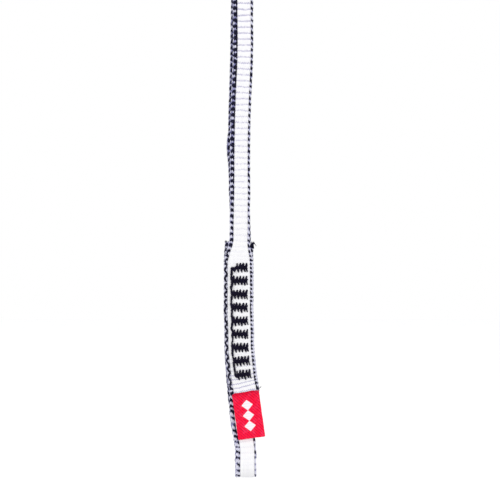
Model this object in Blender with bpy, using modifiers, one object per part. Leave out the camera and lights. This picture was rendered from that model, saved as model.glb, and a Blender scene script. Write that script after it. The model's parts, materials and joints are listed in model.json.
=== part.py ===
"""A sewn climbing sling that hangs by its top bight.

Metres, +Z up. The origin is the inner top of the top bight, where a bar or a carabiner carries the
sling. X runs across the webbing, the front of the seam faces -Y, and the sling hangs along -Z.
The webbing is one length: upper layer of the seam, front strand, top bight, rear strand, bottom
bight and lower layer of the seam. It is divided where the limp loop bends.
"""

import math

import bmesh
import bpy
import numpy as np
from mathutils import Matrix

# Webbing
SLING_LENGTH = 0.300  # outer end of the top bight to outer end of the bottom bight
WEB_WIDTH = 0.008
WEB_THICKNESS = 0.002
SELVEDGE_WIDTH = 0.0014
FIT_GAP = 0.0003

# Bights
TOP_BIGHT_RADIUS = 0.0055  # inside, round the bar that holds the sling
TOP_BIGHT_REACH = 0.020  # how far the top bight's own piece runs down both strands
BOTTOM_BIGHT_RADIUS = 0.003  # inside
BOTTOM_BIGHT_WIDTH = 0.0084
BOTTOM_BIGHT_FLARE = 0.012  # height over which the strands part above the bottom bight
BIGHT_FACETS = 11

# Seam
SEAM_LENGTH = 0.060  # overlap, from one cut end to the other
SEAM_HEIGHT = 0.0344  # upper layer's cut end above the outer end of the bottom bight
SEAM_WIDTH = 0.0118
SEAM_THICKNESS = 0.0014  # one layer, pressed by the stitching
SEAM_SPREAD_RISE = 0.0016  # the front strand starts to widen this far above the lower layer's cut end
SEAM_SPREAD_FALL = 0.0089  # and is at full width this far below it
SEAM_THIN_LENGTH = 0.006  # length over which the thickness changes
SEAM_NARROW_DROP = 0.003  # the lower strand starts to narrow this far below the cut end
SEAM_NARROW_LENGTH = 0.018  # and over this length it narrows to the bottom bight

# Bar tacks
TACK_COUNT = 9
TACK_PITCH = 0.00532
TACK_DROP = 0.01016  # first tack's middle below the lower layer's cut end
TACK_WIDTH = 0.0066
TACK_HEIGHT = 0.0017  # the solid bar without its teeth
TACK_CROWN = 0.00015  # the bar is this much thinner on each edge at its ends
TACK_THICKNESS = 0.0005
TACK_SHIFT = 0.0005  # towards the right selvedge
TOOTH_COUNT = 5
TOOTH_PITCH = 0.00125
TOOTH_HEIGHT = 0.00085
TOOTH_ROOT_WIDTH = 0.0007
TOOTH_TIP_WIDTH = 0.0004
TOOTH_MARGIN = 0.0004
STITCH_DIAMETER = 0.0008
STITCH_INSET = 0.0007  # stitch bundle's middle from the tack's end
BOBBIN_CHAMFER = 0.0004
TRAVEL_THREAD_DIAMETER = 0.0005

# Label
LABEL_WIDTH = 0.0108
LABEL_LENGTH = 0.0185  # from the upper layer's cut end to the folded hem
LABEL_PLY = 0.00022
LABEL_THICKNESS = 0.0006  # both plies with the slit between them
LABEL_ROOT_LENGTH = 0.0095  # sewn in above the cut end
LABEL_SHIFT = 0.00026  # towards the right selvedge
LABEL_TILT = math.radians(8.0)
LABEL_HINGE_DROP = 0.002  # bending line below the cut end
LABEL_HINGE_LEAD = 0.00015  # bending line in front of the label's middle
LABEL_HINGE_GAP = 0.0006
HEM_FACETS = 6

# Bending places of the limp loop
FOLD_LIMIT = math.radians(120.0)
UPPER_FOLD_DROP = 0.080
FOLD_CLEARANCE = 0.0005

# Spacing of the points along the webbing
STRAND_STEP = 0.008
SEAM_STEP = 0.004
FOLD_STEP = 0.003
SLOPE_REACH = 0.0005  # a strand's direction is taken between points this far above and below
TUBE_RESOLUTION = 2
STITCH_SIDES = 8
OUTLINE_SCALE = 1000  # small outlines are filled this much larger, so that no corner is lost

# How the two strands sway sideways on the way down. The first number of each pair is a share of the
# sling's length below the hang point, the second a share of the webbing's width.
BOTTOM_SWAY_SHARE = 0.1375
FRONT_SWAY_SHARES = (
    (0.0, 0.0),
    (0.05, 0.0),
    (0.2, 0.0),
    (0.356, 0.0),
    (0.436, 0.0025),
    (0.489, -0.085),
    (0.548, -0.14),
    (0.623, -0.135),
    (0.66, -0.15),
    (0.692, -0.195),
    (0.74, -0.2),
    (0.77, -0.205),
    (0.796, -0.175),
    (0.823, -0.155),
    (0.844, -0.075),
    (0.86, -0.01),
    (0.876, 0.075),
    (0.8787, 0.0826),
    (0.889, 0.07),
    (0.9, 0.045),
    (0.916, 0.0125),
    (0.932, 0.035),
    (0.95, 0.115),
    (0.964, BOTTOM_SWAY_SHARE),
    (1.0, BOTTOM_SWAY_SHARE),
)
REAR_SWAY_SHARES = (
    (0.0, 0.0),
    (0.05, 0.0),
    (0.12, 0.0),
    (0.356, -0.095),
    (0.436, -0.145),
    (0.476, -0.19),
    (0.516, -0.225),
    (0.548, -0.3),
    (0.58, -0.23),
    (0.62, -0.185),
    (0.652, -0.13),
    (0.676, -0.11),
    (0.756, -0.24),
    (0.81, -0.42),
    (0.876, -0.28),
    (0.9, -0.155),
    (0.921, -0.05),
    (0.943, 0.08),
    (0.964, BOTTOM_SWAY_SHARE),
    (1.0, BOTTOM_SWAY_SHARE),
)

# Heights, from the sizes above
BOTTOM_END = WEB_THICKNESS - SLING_LENGTH
TOP_BIGHT_CENTRE = -TOP_BIGHT_RADIUS
BOTTOM_BIGHT_CENTRE = BOTTOM_END + WEB_THICKNESS + BOTTOM_BIGHT_RADIUS
SEAM_END = BOTTOM_END + SEAM_HEIGHT
SEAM_START = SEAM_END + SEAM_LENGTH

# Depths through the seam, front to back, centred on the hang point
STACK_DEPTH = 2 * TACK_THICKNESS + 4 * FIT_GAP + 2 * SEAM_THICKNESS + WEB_THICKNESS
UPPER_LAYER_DEPTH = TACK_THICKNESS + FIT_GAP + SEAM_THICKNESS / 2 - STACK_DEPTH / 2
LOWER_LAYER_FACE = UPPER_LAYER_DEPTH + SEAM_THICKNESS / 2 + FIT_GAP
BOBBIN_FACE = LOWER_LAYER_FACE + SEAM_THICKNESS + FIT_GAP
REAR_STRAND_DEPTH = BOBBIN_FACE + TACK_THICKNESS + FIT_GAP + WEB_THICKNESS / 2
LABEL_DEPTH = LOWER_LAYER_FACE - FIT_GAP - LABEL_THICKNESS / 2
LAYER_GAP_AT_LABEL = LABEL_THICKNESS + 2 * FIT_GAP
LOWER_STRAND_DEPTH = LOWER_LAYER_FACE + WEB_THICKNESS / 2
BOTTOM_BIGHT_DEPTH = (LOWER_STRAND_DEPTH + REAR_STRAND_DEPTH) / 2
HALF_GAP_AT_SEAM = (REAR_STRAND_DEPTH - LOWER_STRAND_DEPTH) / 2

# Colours as linear red, green and blue
WEB_WHITE = (0.86, 0.85, 0.90)
SELVEDGE_GREY = (0.17, 0.17, 0.27)
THREAD_BLACK = (0.012, 0.010, 0.020)
LABEL_RED = (0.93, 0.006, 0.04)


def eased(share):
    """A smooth step from 0 to 1, flat at both ends."""
    share = np.clip(share, 0.0, 1.0)
    return share * share * (3.0 - 2.0 * share)


def through(pairs, at):
    """A cubic curve through the pairs, whose slope at each is that of its neighbours."""
    keys, values = np.array(pairs, float).T
    slopes = np.gradient(values, keys)
    first = np.clip(np.searchsorted(keys, at) - 1, 0, len(keys) - 2)
    span = keys[first + 1] - keys[first]
    share = (at - keys[first]) / span
    rise = values[first + 1] - values[first]
    start = share * (1.0 - share) ** 2 * slopes[first] * span
    end = share**2 * (share - 1.0) * slopes[first + 1] * span
    return values[first] + rise * eased(share) + start + end


def layer_gap(height):
    """Space between the seam's layers, which grows downwards until the label's root fits in it."""
    root_top = SEAM_END + LABEL_ROOT_LENGTH
    share = (SEAM_START - SEAM_LENGTH / 2 - height) / (SEAM_LENGTH / 2 - LABEL_ROOT_LENGTH)
    return FIT_GAP + (LAYER_GAP_AT_LABEL - FIT_GAP) * eased(np.where(height < root_top, 1.0, share))


def bight_flare(height):
    """How far each strand has moved out from its line above the bottom bight."""
    radius = BOTTOM_BIGHT_RADIUS + WEB_THICKNESS / 2
    flare_top = BOTTOM_BIGHT_CENTRE + BOTTOM_BIGHT_FLARE
    return (radius - HALF_GAP_AT_SEAM) * eased((flare_top - height) / BOTTOM_BIGHT_FLARE)


def narrowing(height):
    """0 on the spread or free web, 1 where it has narrowed to the bottom bight."""
    return eased((SEAM_END - SEAM_NARROW_DROP - height) / SEAM_NARROW_LENGTH)


class Strand:
    """One side of the loop, whose place and size at a height are worked out from the seam's stack."""

    sway_shares = FRONT_SWAY_SHARES

    def points(self, height):
        """The middle of the strand at each height."""
        return np.stack([self.sway(height), self.depth(height), height], axis=1)

    def sway(self, height):
        return WEB_WIDTH * through(self.sway_shares, -height / SLING_LENGTH)

    def seam_share(self, height):
        """1 where the web is spread in the seam, 0 where it is free."""
        top = SEAM_START + SEAM_SPREAD_RISE
        return eased((top - height) / (SEAM_SPREAD_RISE + SEAM_SPREAD_FALL))

    def width(self, height):
        spread = WEB_WIDTH + (SEAM_WIDTH - WEB_WIDTH) * self.seam_share(height)
        return spread + (BOTTOM_BIGHT_WIDTH - spread) * narrowing(height)

    def thickness(self, height):
        above = eased((height - SEAM_START) / SEAM_THIN_LENGTH)
        below = eased((SEAM_END - height) / SEAM_THIN_LENGTH)
        return SEAM_THICKNESS + (WEB_THICKNESS - SEAM_THICKNESS) * (above + below)


class FrontStrand(Strand):
    """The strand in front, which becomes the seam's upper layer."""

    def depth(self, height):
        top = -TOP_BIGHT_RADIUS - WEB_THICKNESS / 2
        share = np.clip((height - SEAM_START) / (TOP_BIGHT_CENTRE - SEAM_START), 0.0, 1.0)
        in_seam = LOWER_LAYER_FACE - layer_gap(height) - SEAM_THICKNESS / 2
        return in_seam + (top - in_seam) * share


class LowerStrand(Strand):
    """The seam's lower layer, which goes on down to the bottom bight."""

    def seam_share(self, height):
        """1 all along the seam, as this layer is flat and wide from its cut end on."""
        return np.ones_like(height)

    def depth(self, height):
        return LOWER_LAYER_FACE + self.thickness(height) / 2 - bight_flare(height)


class RearStrand(Strand):
    """The free strand behind the seam, from bight to bight."""

    sway_shares = REAR_SWAY_SHARES

    def width(self, height):
        return WEB_WIDTH + (BOTTOM_BIGHT_WIDTH - WEB_WIDTH) * narrowing(height)

    def thickness(self, height):
        return np.full_like(height, WEB_THICKNESS)

    def depth(self, height):
        top = TOP_BIGHT_RADIUS + WEB_THICKNESS / 2
        share = np.clip((height - SEAM_START) / (TOP_BIGHT_CENTRE - SEAM_START), 0.0, 1.0)
        return REAR_STRAND_DEPTH + (top - REAR_STRAND_DEPTH) * share + bight_flare(height)


FRONT, LOWER, REAR = FrontStrand(), LowerStrand(), RearStrand()


class Course:
    """A length of webbing: its middle line, and its direction, width and thickness at each point."""

    def __init__(self, points, along, widths, thicknesses):
        self.points = points
        self.along = along
        self.widths = widths
        self.thicknesses = thicknesses
        facing = np.stack([np.zeros(len(points)), along[:, 2], -along[:, 1]], axis=1)
        across = np.cross(facing, along)
        self.across = across / np.linalg.norm(across, axis=1, keepdims=True)

    def line(self, offsets):
        """The line that runs beside the middle line, offset across the web at each point."""
        return self.points + self.across * offsets[:, None]

    def edges(self):
        """The middle lines of the two selvedges, left and right."""
        offsets = self.widths / 2 - SELVEDGE_WIDTH / 2
        return self.line(-offsets), self.line(offsets)

    def __add__(self, other):
        return Course(
            np.vstack([self.points, other.points]),
            np.vstack([self.along, other.along]),
            np.concatenate([self.widths, other.widths]),
            np.concatenate([self.thicknesses, other.thicknesses]),
        )


def strand_course(strand, begin, end, step):
    """The stretch of a strand from one height to another."""
    count = max(2, math.ceil(abs(end - begin) / step)) + 1
    heights = np.linspace(begin, end, count)
    reach = math.copysign(SLOPE_REACH, end - begin)
    along = strand.points(heights + reach) - strand.points(heights - reach)
    along /= np.linalg.norm(along, axis=1, keepdims=True)
    points = strand.points(heights)
    return Course(points, along, strand.width(heights), strand.thickness(heights))


def bight_course(radius, sway, depth, centre, width, side):
    """Half a turn whose flats touch the true radius. It opens down with side 1, and up with -1."""
    turn = np.linspace(0.0, math.pi, BIGHT_FACETS + 1)
    reach = radius / math.cos(math.pi / (2 * BIGHT_FACETS))
    still = np.zeros_like(turn)
    rise = side * np.sin(turn)
    points = np.stack([still + sway, depth - reach * np.cos(turn), centre + reach * rise], axis=1)
    along = np.stack([still, np.sin(turn), side * np.cos(turn)], axis=1)
    return Course(points, along, still + width, still + WEB_THICKNESS)


def top_bight_course():
    """The top bight with the first part of both strands, from front to rear."""
    start = TOP_BIGHT_CENTRE - FIT_GAP
    radius = TOP_BIGHT_RADIUS + WEB_THICKNESS / 2
    sway = FRONT.sway(np.array([TOP_BIGHT_CENTRE]))[0]
    rise = strand_course(FRONT, -TOP_BIGHT_REACH, start, STRAND_STEP)
    turn = bight_course(radius, sway, 0.0, TOP_BIGHT_CENTRE, WEB_WIDTH, 1)
    fall = strand_course(REAR, start, -TOP_BIGHT_REACH, STRAND_STEP)
    return rise + turn + fall


def bottom_bight_course(begin):
    """The bottom bight with both strands below their bending place, from front to rear."""
    end = BOTTOM_BIGHT_CENTRE + FIT_GAP
    radius = BOTTOM_BIGHT_RADIUS + WEB_THICKNESS / 2
    sway = WEB_WIDTH * BOTTOM_SWAY_SHARE
    place = (BOTTOM_BIGHT_DEPTH, BOTTOM_BIGHT_CENTRE)
    fall = strand_course(LOWER, begin, end, FOLD_STEP)
    turn = bight_course(radius, sway, *place, BOTTOM_BIGHT_WIDTH, -1)
    rise = strand_course(REAR, end, begin, FOLD_STEP)
    return fall + turn + rise


def fold_reach(front, height, depth):
    """Half the length that bends at a fold, so that the stiff lengths clear at the fold's limit."""
    at = np.array([height])
    ahead = depth - front.depth(at)[0] + WEB_THICKNESS / 2
    behind = REAR.depth(at)[0] + WEB_THICKNESS / 2 - depth
    return max(ahead, behind) * math.tan(FOLD_LIMIT / 2) + FOLD_CLEARANCE


class Fold:
    """A place where both strands bend together, about a line along X."""

    def __init__(self, name, front, height, depth, reach):
        self.name = name
        self.front = front
        self.height = height
        self.depth = depth
        self.top = height + reach
        self.bottom = height - reach


def folds():
    """The folds in the free loop, above the seam and below it. Each hangs balanced on its line."""
    upper = -UPPER_FOLD_DROP
    upper_reach = fold_reach(FRONT, upper, 0.0)
    above_reach = fold_reach(FRONT, SEAM_START + SEAM_SPREAD_RISE, 0.0)
    above = SEAM_START + FIT_GAP + above_reach
    hinge = SEAM_END - LABEL_HINGE_DROP
    below_reach = fold_reach(LOWER, hinge, BOTTOM_BIGHT_DEPTH)
    below = hinge - FIT_GAP - below_reach
    return (
        Fold("upper_fold", FRONT, upper, 0.0, upper_reach),
        Fold("seam_top_fold", FRONT, above, 0.0, above_reach),
        Fold("seam_bottom_fold", LOWER, below, BOTTOM_BIGHT_DEPTH, below_reach),
    )


def finish(name, colour, roughness):
    """A material of one colour for a kind of yarn."""
    material = bpy.data.materials.new(name)
    material.use_nodes = True
    shader = material.node_tree.nodes["Principled BSDF"]
    shader.inputs["Base Color"].default_value = (*colour, 1.0)
    shader.inputs["Roughness"].default_value = roughness
    shader.inputs["Metallic"].default_value = 0.0
    return material


def add_object(name, data, material, collection):
    """An object of this mesh or curve in the collection, with its material."""
    thing = bpy.data.objects.new(name, data)
    collection.objects.link(thing)
    if material:
        data.materials.append(material)
    return thing


def grid_mesh(name, rows):
    """An open surface through rows of points, one row for each point along the piece."""
    length, across = rows.shape[:2]
    index = np.arange(length * across).reshape(length, across)
    corners = (index[:-1, :-1], index[:-1, 1:], index[1:, 1:], index[1:, :-1])
    faces = np.stack([corner.ravel() for corner in corners], axis=1)
    mesh = bpy.data.meshes.new(name)
    mesh.from_pydata(rows.reshape(-1, 3).tolist(), [], faces.tolist())
    return mesh


def thicken(thing, thickness):
    """Gives an open surface its thickness, half to each side."""
    wall = thing.modifiers.new("thickness", "SOLIDIFY")
    wall.thickness = thickness
    wall.offset = 0.0
    wall.use_even_offset = True
    return wall


def web(name, course, halves, material, collection):
    """A flat band of webbing along a course, with half its width and its own thickness at each point."""
    rows = np.stack([course.line(-halves), course.line(halves)], axis=1)
    thing = add_object(name, grid_mesh(name, rows), material, collection)
    group = thing.vertex_groups.new(name="thickness")
    shares = np.repeat(course.thicknesses / WEB_THICKNESS, 2)
    for vertex, share in enumerate(shares):
        group.add([vertex], float(share), "REPLACE")
    thicken(thing, WEB_THICKNESS).vertex_group = group.name
    return thing


def tube(name, line, diameter, material, collection):
    """A round cord along a line, with closed ends."""
    curve = bpy.data.curves.new(name, "CURVE")
    curve.dimensions = "3D"
    curve.bevel_depth = diameter / 2
    curve.bevel_resolution = TUBE_RESOLUTION
    curve.use_fill_caps = True
    spline = curve.splines.new("POLY")
    spline.points.add(len(line) - 1)
    spline.points.foreach_set("co", np.hstack([line, np.ones((len(line), 1))]).ravel())
    return add_object(name, curve, material, collection)


def hang(thing, holder):
    """Makes a piece follow the empty on its bending line, and leaves it where it is."""
    if holder:
        thing.parent = holder
        thing.matrix_parent_inverse = holder.matrix_world.inverted()


def webbing_length(name, course, holder, materials, collection):
    """A length of the webbing: its white web, its left selvedge and its right selvedge."""
    core = course.widths / 2 - SELVEDGE_WIDTH - FIT_GAP
    piece = web(f"{name}_web", course, core, materials["web"], collection)
    hang(piece, holder)
    for side, line in zip(("left", "right"), course.edges()):
        edge_name = f"{name}_{side}_selvedge"
        hang(tube(edge_name, line, SELVEDGE_WIDTH, materials["selvedge"], collection), holder)
    return piece


def extruded(name, outline, thickness, depth):
    """A flat mesh plate with this outline in the XZ plane, its middle at a depth along Y."""
    curve = bpy.data.curves.new(name, "CURVE")
    curve.dimensions = "2D"
    curve.fill_mode = "BOTH"
    curve.extrude = thickness / 2 * OUTLINE_SCALE
    spline = curve.splines.new("POLY")
    spline.points.add(len(outline) - 1)
    spline.use_cyclic_u = True
    for point, (x, z) in zip(spline.points, outline):
        point.co = (x * OUTLINE_SCALE, z * OUTLINE_SCALE, 0.0, 1.0)
    flat = bpy.data.objects.new(name, curve)
    bpy.context.scene.collection.objects.link(flat)
    mesh = bpy.data.meshes.new_from_object(flat.evaluated_get(bpy.context.evaluated_depsgraph_get()))
    bpy.data.objects.remove(flat)
    mesh.transform(Matrix.Scale(1 / OUTLINE_SCALE, 4))
    mesh.transform(Matrix.Translation((0.0, depth, 0.0)) @ Matrix.Rotation(math.pi / 2, 4, "X"))
    return mesh


def welded(mesh):
    """The same mesh with its loose caps joined to its walls and its faces turned outwards."""
    shape = bmesh.new()
    shape.from_mesh(mesh)
    bmesh.ops.remove_doubles(shape, verts=shape.verts, dist=FIT_GAP / 100)
    bmesh.ops.recalc_face_normals(shape, faces=shape.faces)
    shape.to_mesh(mesh)
    shape.free()
    return mesh


def rods(name, places, diameter, front, back):
    """A mesh of round rods along Y at the (x, z) places."""
    shape = bmesh.new()
    turn = Matrix.Rotation(math.pi / 2, 4, "X")
    for x, z in places:
        bmesh.ops.create_cone(
            shape,
            cap_ends=True,
            segments=STITCH_SIDES,
            radius1=diameter / 2,
            radius2=diameter / 2,
            depth=back - front,
            matrix=Matrix.Translation((x, (front + back) / 2, z)) @ turn,
        )
    mesh = bpy.data.meshes.new(name)
    shape.to_mesh(mesh)
    shape.free()
    return mesh


def combine(thing, mesh, operation, cutters):
    """Adds a Boolean with this mesh, whose object goes with the cutters and takes the same place."""
    tool = add_object(f"{thing.name}_{mesh.name}", mesh, None, cutters)
    tool.matrix_world = thing.matrix_world
    tool.hide_render = True
    tool.display_type = "WIRE"
    step = thing.modifiers.new(mesh.name, "BOOLEAN")
    step.operation = operation
    step.solver = "EXACT"
    step.object = tool


def bar_edge(place):
    """Half the height of a tack's bar at a place along it, which is greatest in the middle."""
    return TACK_HEIGHT / 2 - TACK_CROWN * (2 * place / TACK_WIDTH) ** 2


def tooth_points(middle):
    """One stitch end that stands out of a tack's edge, left to right."""
    root, point = TOOTH_ROOT_WIDTH / 2, TOOTH_TIP_WIDTH / 2
    tip = TACK_HEIGHT / 2 + TOOTH_HEIGHT
    roots = [(x, bar_edge(x)) for x in (middle - root, middle + root)]
    return [roots[0], (middle - point, tip), (middle + point, tip), roots[1]]


def tack_outline():
    """The front of a bar tack: a bar with teeth above and below, half a pitch apart."""
    side = TACK_WIDTH / 2
    upper, lower = [], []
    for tooth in range(TOOTH_COUNT):
        middle = TOOTH_MARGIN + tooth * TOOTH_PITCH - side
        upper += tooth_points(middle)
        lower += [(x, -z) for x, z in tooth_points(middle + TOOTH_PITCH / 2)]
    ends = [(side, -bar_edge(side)), (side, bar_edge(side))]
    return [(-side, -bar_edge(side))] + lower + ends + upper[::-1] + [(-side, bar_edge(side))]


def bobbin_outline():
    """The back of a bar tack: a plain bar with its corners taken off."""
    side, edge = TACK_WIDTH / 2, TACK_HEIGHT / 2
    near_side, near_edge = side - BOBBIN_CHAMFER, edge - BOBBIN_CHAMFER
    right = [(near_side, -edge), (side, -near_edge), (side, near_edge), (near_side, edge)]
    left = [(-x, -z) for x, z in right]
    return right + left


def tack_height(number):
    """The middle of a tack, counted from 0 at the top of the seam."""
    return SEAM_START - TACK_DROP - number * TACK_PITCH


def tack_tilt(number):
    """How far the webbing leans at a tack, as an angle about Y."""
    above = np.array([tack_height(number) + TACK_HEIGHT])
    below = np.array([tack_height(number) - TACK_HEIGHT])
    lean = FRONT.sway(below)[0] - FRONT.sway(above)[0]
    return -math.atan2(lean, 2 * TACK_HEIGHT)


def tack_matrix(number):
    """Where a tack sits: on the web's middle line, a little to the right, and square to it."""
    height = tack_height(number)
    tilt = tack_tilt(number)
    middle = FRONT.sway(np.array([height]))[0] + TACK_SHIFT
    return Matrix.Translation((middle, 0.0, height)) @ Matrix.Rotation(tilt, 4, "Y")


def upper_face(height):
    """The front face of the seam's upper layer at a height."""
    return FRONT.depth(np.array([height]))[0] - SEAM_THICKNESS / 2


def stitch_places():
    """The two stitch bundles of a tack, as (x, z) from the tack's middle."""
    offset = TACK_WIDTH / 2 - STITCH_INSET
    return [(-offset, 0.0), (offset, 0.0)]


def bar_tacks(holder, materials, collection, cutters):
    """The tacks. Each is a toothed bar in front, a plain bar behind, and the stitches between them."""
    for number in range(TACK_COUNT):
        front = upper_face(tack_height(number)) - FIT_GAP - TACK_THICKNESS / 2
        back = BOBBIN_FACE + TACK_THICKNESS / 2
        mesh = welded(extruded(f"bar_tack_{number + 1}", tack_outline(), TACK_THICKNESS, front))
        tack = add_object(mesh.name, mesh, materials["thread"], collection)
        tack.matrix_world = tack_matrix(number)
        stitches = rods("stitches", stitch_places(), STITCH_DIAMETER, front, back)
        combine(tack, stitches, "UNION", cutters)
        bobbin = welded(extruded("bobbin_side", bobbin_outline(), TACK_THICKNESS, back))
        combine(tack, bobbin, "UNION", cutters)
        hang(tack, holder)


def stitch_hole_mesh(number):
    """The room for one tack's stitches through the layers, in the sling's own frame."""
    diameter = STITCH_DIAMETER + 2 * FIT_GAP
    mesh = rods("stitch_holes", stitch_places(), diameter, -STACK_DEPTH, STACK_DEPTH)
    mesh.transform(tack_matrix(number))
    return mesh


def pierce(thing, numbers, cutters):
    """Cuts the stitch holes of these tacks through a layer."""
    shape = bmesh.new()
    for number in numbers:
        shape.from_mesh(stitch_hole_mesh(number))
    mesh = bpy.data.meshes.new("stitch_holes")
    shape.to_mesh(mesh)
    shape.free()
    mesh.transform(thing.matrix_world.inverted())
    combine(thing, mesh, "DIFFERENCE", cutters)


def travel_thread(holder, materials, collection):
    """The thread that runs down past the left ends of the tacks, on the upper layer."""
    offset = TACK_WIDTH / 2 + FIT_GAP + TRAVEL_THREAD_DIAMETER / 2
    ends = (TACK_HEIGHT / 2,) + (0.0,) * (TACK_COUNT - 2) + (-TACK_HEIGHT / 2,)
    line = []
    for number, end in enumerate(ends):
        place = tack_matrix(number) @ Matrix.Translation((-offset, 0.0, end))
        x, _, z = place.translation
        line.append((x, upper_face(z) - FIT_GAP - TRAVEL_THREAD_DIAMETER / 2, z))
    thread = np.array(line)
    material = materials["thread"]
    hang(tube("travel_thread", thread, TRAVEL_THREAD_DIAMETER, material, collection), holder)


def label_frame():
    """The label's bending line: its middle is the origin, X runs along it and -Z down the label."""
    middle = FRONT.sway(np.array([SEAM_END]))[0] + LABEL_SHIFT
    cut_end = Matrix.Translation((middle, LABEL_DEPTH - LABEL_HINGE_LEAD, SEAM_END))
    return (
        cut_end
        @ Matrix.Rotation(-LABEL_TILT, 4, "Y")
        @ Matrix.Translation((0.0, 0.0, -LABEL_HINGE_DROP))
    )


def label_flap(holder, materials, collection):
    """The hanging part of the label: two plies joined by the folded hem."""
    top = -LABEL_HINGE_GAP / 2
    radius = (LABEL_THICKNESS - LABEL_PLY) / 2
    bottom = LABEL_HINGE_DROP - LABEL_LENGTH + LABEL_THICKNESS / 2
    turn = np.linspace(0.0, math.pi, HEM_FACETS + 1)
    depths = np.concatenate([[-radius], -radius * np.cos(turn), [radius]]) + LABEL_HINGE_LEAD
    heights = np.concatenate([[top], bottom - radius * np.sin(turn), [top]])
    sides = np.array([-LABEL_WIDTH / 2, LABEL_WIDTH / 2])
    rows = np.stack(
        [
            np.broadcast_to(sides, (len(depths), 2)),
            np.repeat(depths[:, None], 2, axis=1),
            np.repeat(heights[:, None], 2, axis=1),
        ],
        axis=2,
    )
    flap = add_object("label", grid_mesh("label", rows), materials["label"], collection)
    flap.matrix_world = label_frame()
    thicken(flap, LABEL_PLY)
    hang(flap, holder)


def label_root(holder, materials, collection, cutters):
    """The part of the label between the layers, held by the stitches of the lowest tacks."""
    side = LABEL_WIDTH / 2
    bottom = LABEL_HINGE_GAP / 2
    top = LABEL_HINGE_DROP + LABEL_ROOT_LENGTH
    outline = [(-side, bottom), (side, bottom), (side, top), (-side, top)]
    mesh = welded(extruded("label_root", outline, LABEL_THICKNESS, LABEL_HINGE_LEAD))
    root = add_object("label_root", mesh, materials["label"], collection)
    root.matrix_world = label_frame()
    pierce(root, [TACK_COUNT - 1], cutters)
    hang(root, holder)


def bending_line(fold, parent, collection):
    """An empty on a fold's line, for the pieces that move below the fold."""
    holder = bpy.data.objects.new(f"{fold.name}_line", None)
    collection.objects.link(holder)
    holder.empty_display_size = WEB_WIDTH
    holder.matrix_world = Matrix.Translation((0.0, fold.depth, fold.height))
    if parent:
        holder.parent = parent
        holder.matrix_parent_inverse = parent.matrix_world.inverted()
    return holder


def webbing(upper, above, below, lines, materials, collection, cutters):
    """The whole length of webbing, from the seam's upper layer round to its lower layer."""
    middle_line, seam_line, bottom_line = lines
    half = FIT_GAP / 2

    def strand(name, side, top, bottom, step, holder):
        course = strand_course(side, top - half, bottom + half, step)
        return webbing_length(name, course, holder, materials, collection)

    def bending(fold, holder):
        strand(f"{fold.name}_front", fold.front, fold.top, fold.bottom, FOLD_STEP, holder)
        strand(f"{fold.name}_rear", REAR, fold.top, fold.bottom, FOLD_STEP, holder)

    webbing_length("top_bight", top_bight_course(), None, materials, collection)
    joint = -TOP_BIGHT_REACH - half
    strand("front_strand_upper", FRONT, joint, upper.top, STRAND_STEP, None)
    strand("rear_strand_upper", REAR, joint, upper.top, STRAND_STEP, None)
    bending(upper, None)
    strand("front_strand_lower", FRONT, upper.bottom, above.top, STRAND_STEP, middle_line)
    strand("rear_strand_middle", REAR, upper.bottom, above.top, STRAND_STEP, middle_line)
    bending(above, middle_line)
    seam_end = SEAM_END - half
    layer = strand("seam_upper_layer", FRONT, above.bottom, seam_end, SEAM_STEP, seam_line)
    pierce(layer, range(TACK_COUNT), cutters)
    seam_start = SEAM_START + half
    layer = strand("seam_lower_layer", LOWER, seam_start, below.top, SEAM_STEP, seam_line)
    pierce(layer, range(TACK_COUNT), cutters)
    strand("rear_strand_at_seam", REAR, above.bottom, below.top, STRAND_STEP, seam_line)
    bending(below, seam_line)
    course = bottom_bight_course(below.bottom - half)
    webbing_length("bottom_bight", course, bottom_line, materials, collection)


def main():
    for thing in list(bpy.data.objects):
        bpy.data.objects.remove(thing, do_unlink=True)
    parts = bpy.data.collections.new("climbing_sling")
    cutters = bpy.data.collections.new("cutters")
    for collection in (parts, cutters):
        bpy.context.scene.collection.children.link(collection)
    materials = {
        "web": finish("webbing_white", WEB_WHITE, 0.75),
        "selvedge": finish("selvedge_grey", SELVEDGE_GREY, 0.7),
        "thread": finish("thread_black", THREAD_BLACK, 0.5),
        "label": finish("label_red", LABEL_RED, 0.6),
    }
    upper, above, below = folds()
    middle_line = bending_line(upper, None, parts)
    seam_line = bending_line(above, middle_line, parts)
    bottom_line = bending_line(below, seam_line, parts)
    lines = (middle_line, seam_line, bottom_line)
    webbing(upper, above, below, lines, materials, parts, cutters)
    bar_tacks(seam_line, materials, parts, cutters)
    travel_thread(seam_line, materials, parts)
    label_root(seam_line, materials, parts, cutters)
    label_flap(seam_line, materials, parts)


main()
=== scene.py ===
"""Looks of a sewn climbing sling: narrow woven webbing, bar tacks, running thread and label."""

import json
import logging
import math
from collections.abc import Callable
from dataclasses import dataclass, field, fields, replace
from enum import Enum

import bpy
import numpy as np
from mathutils import Matrix

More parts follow.
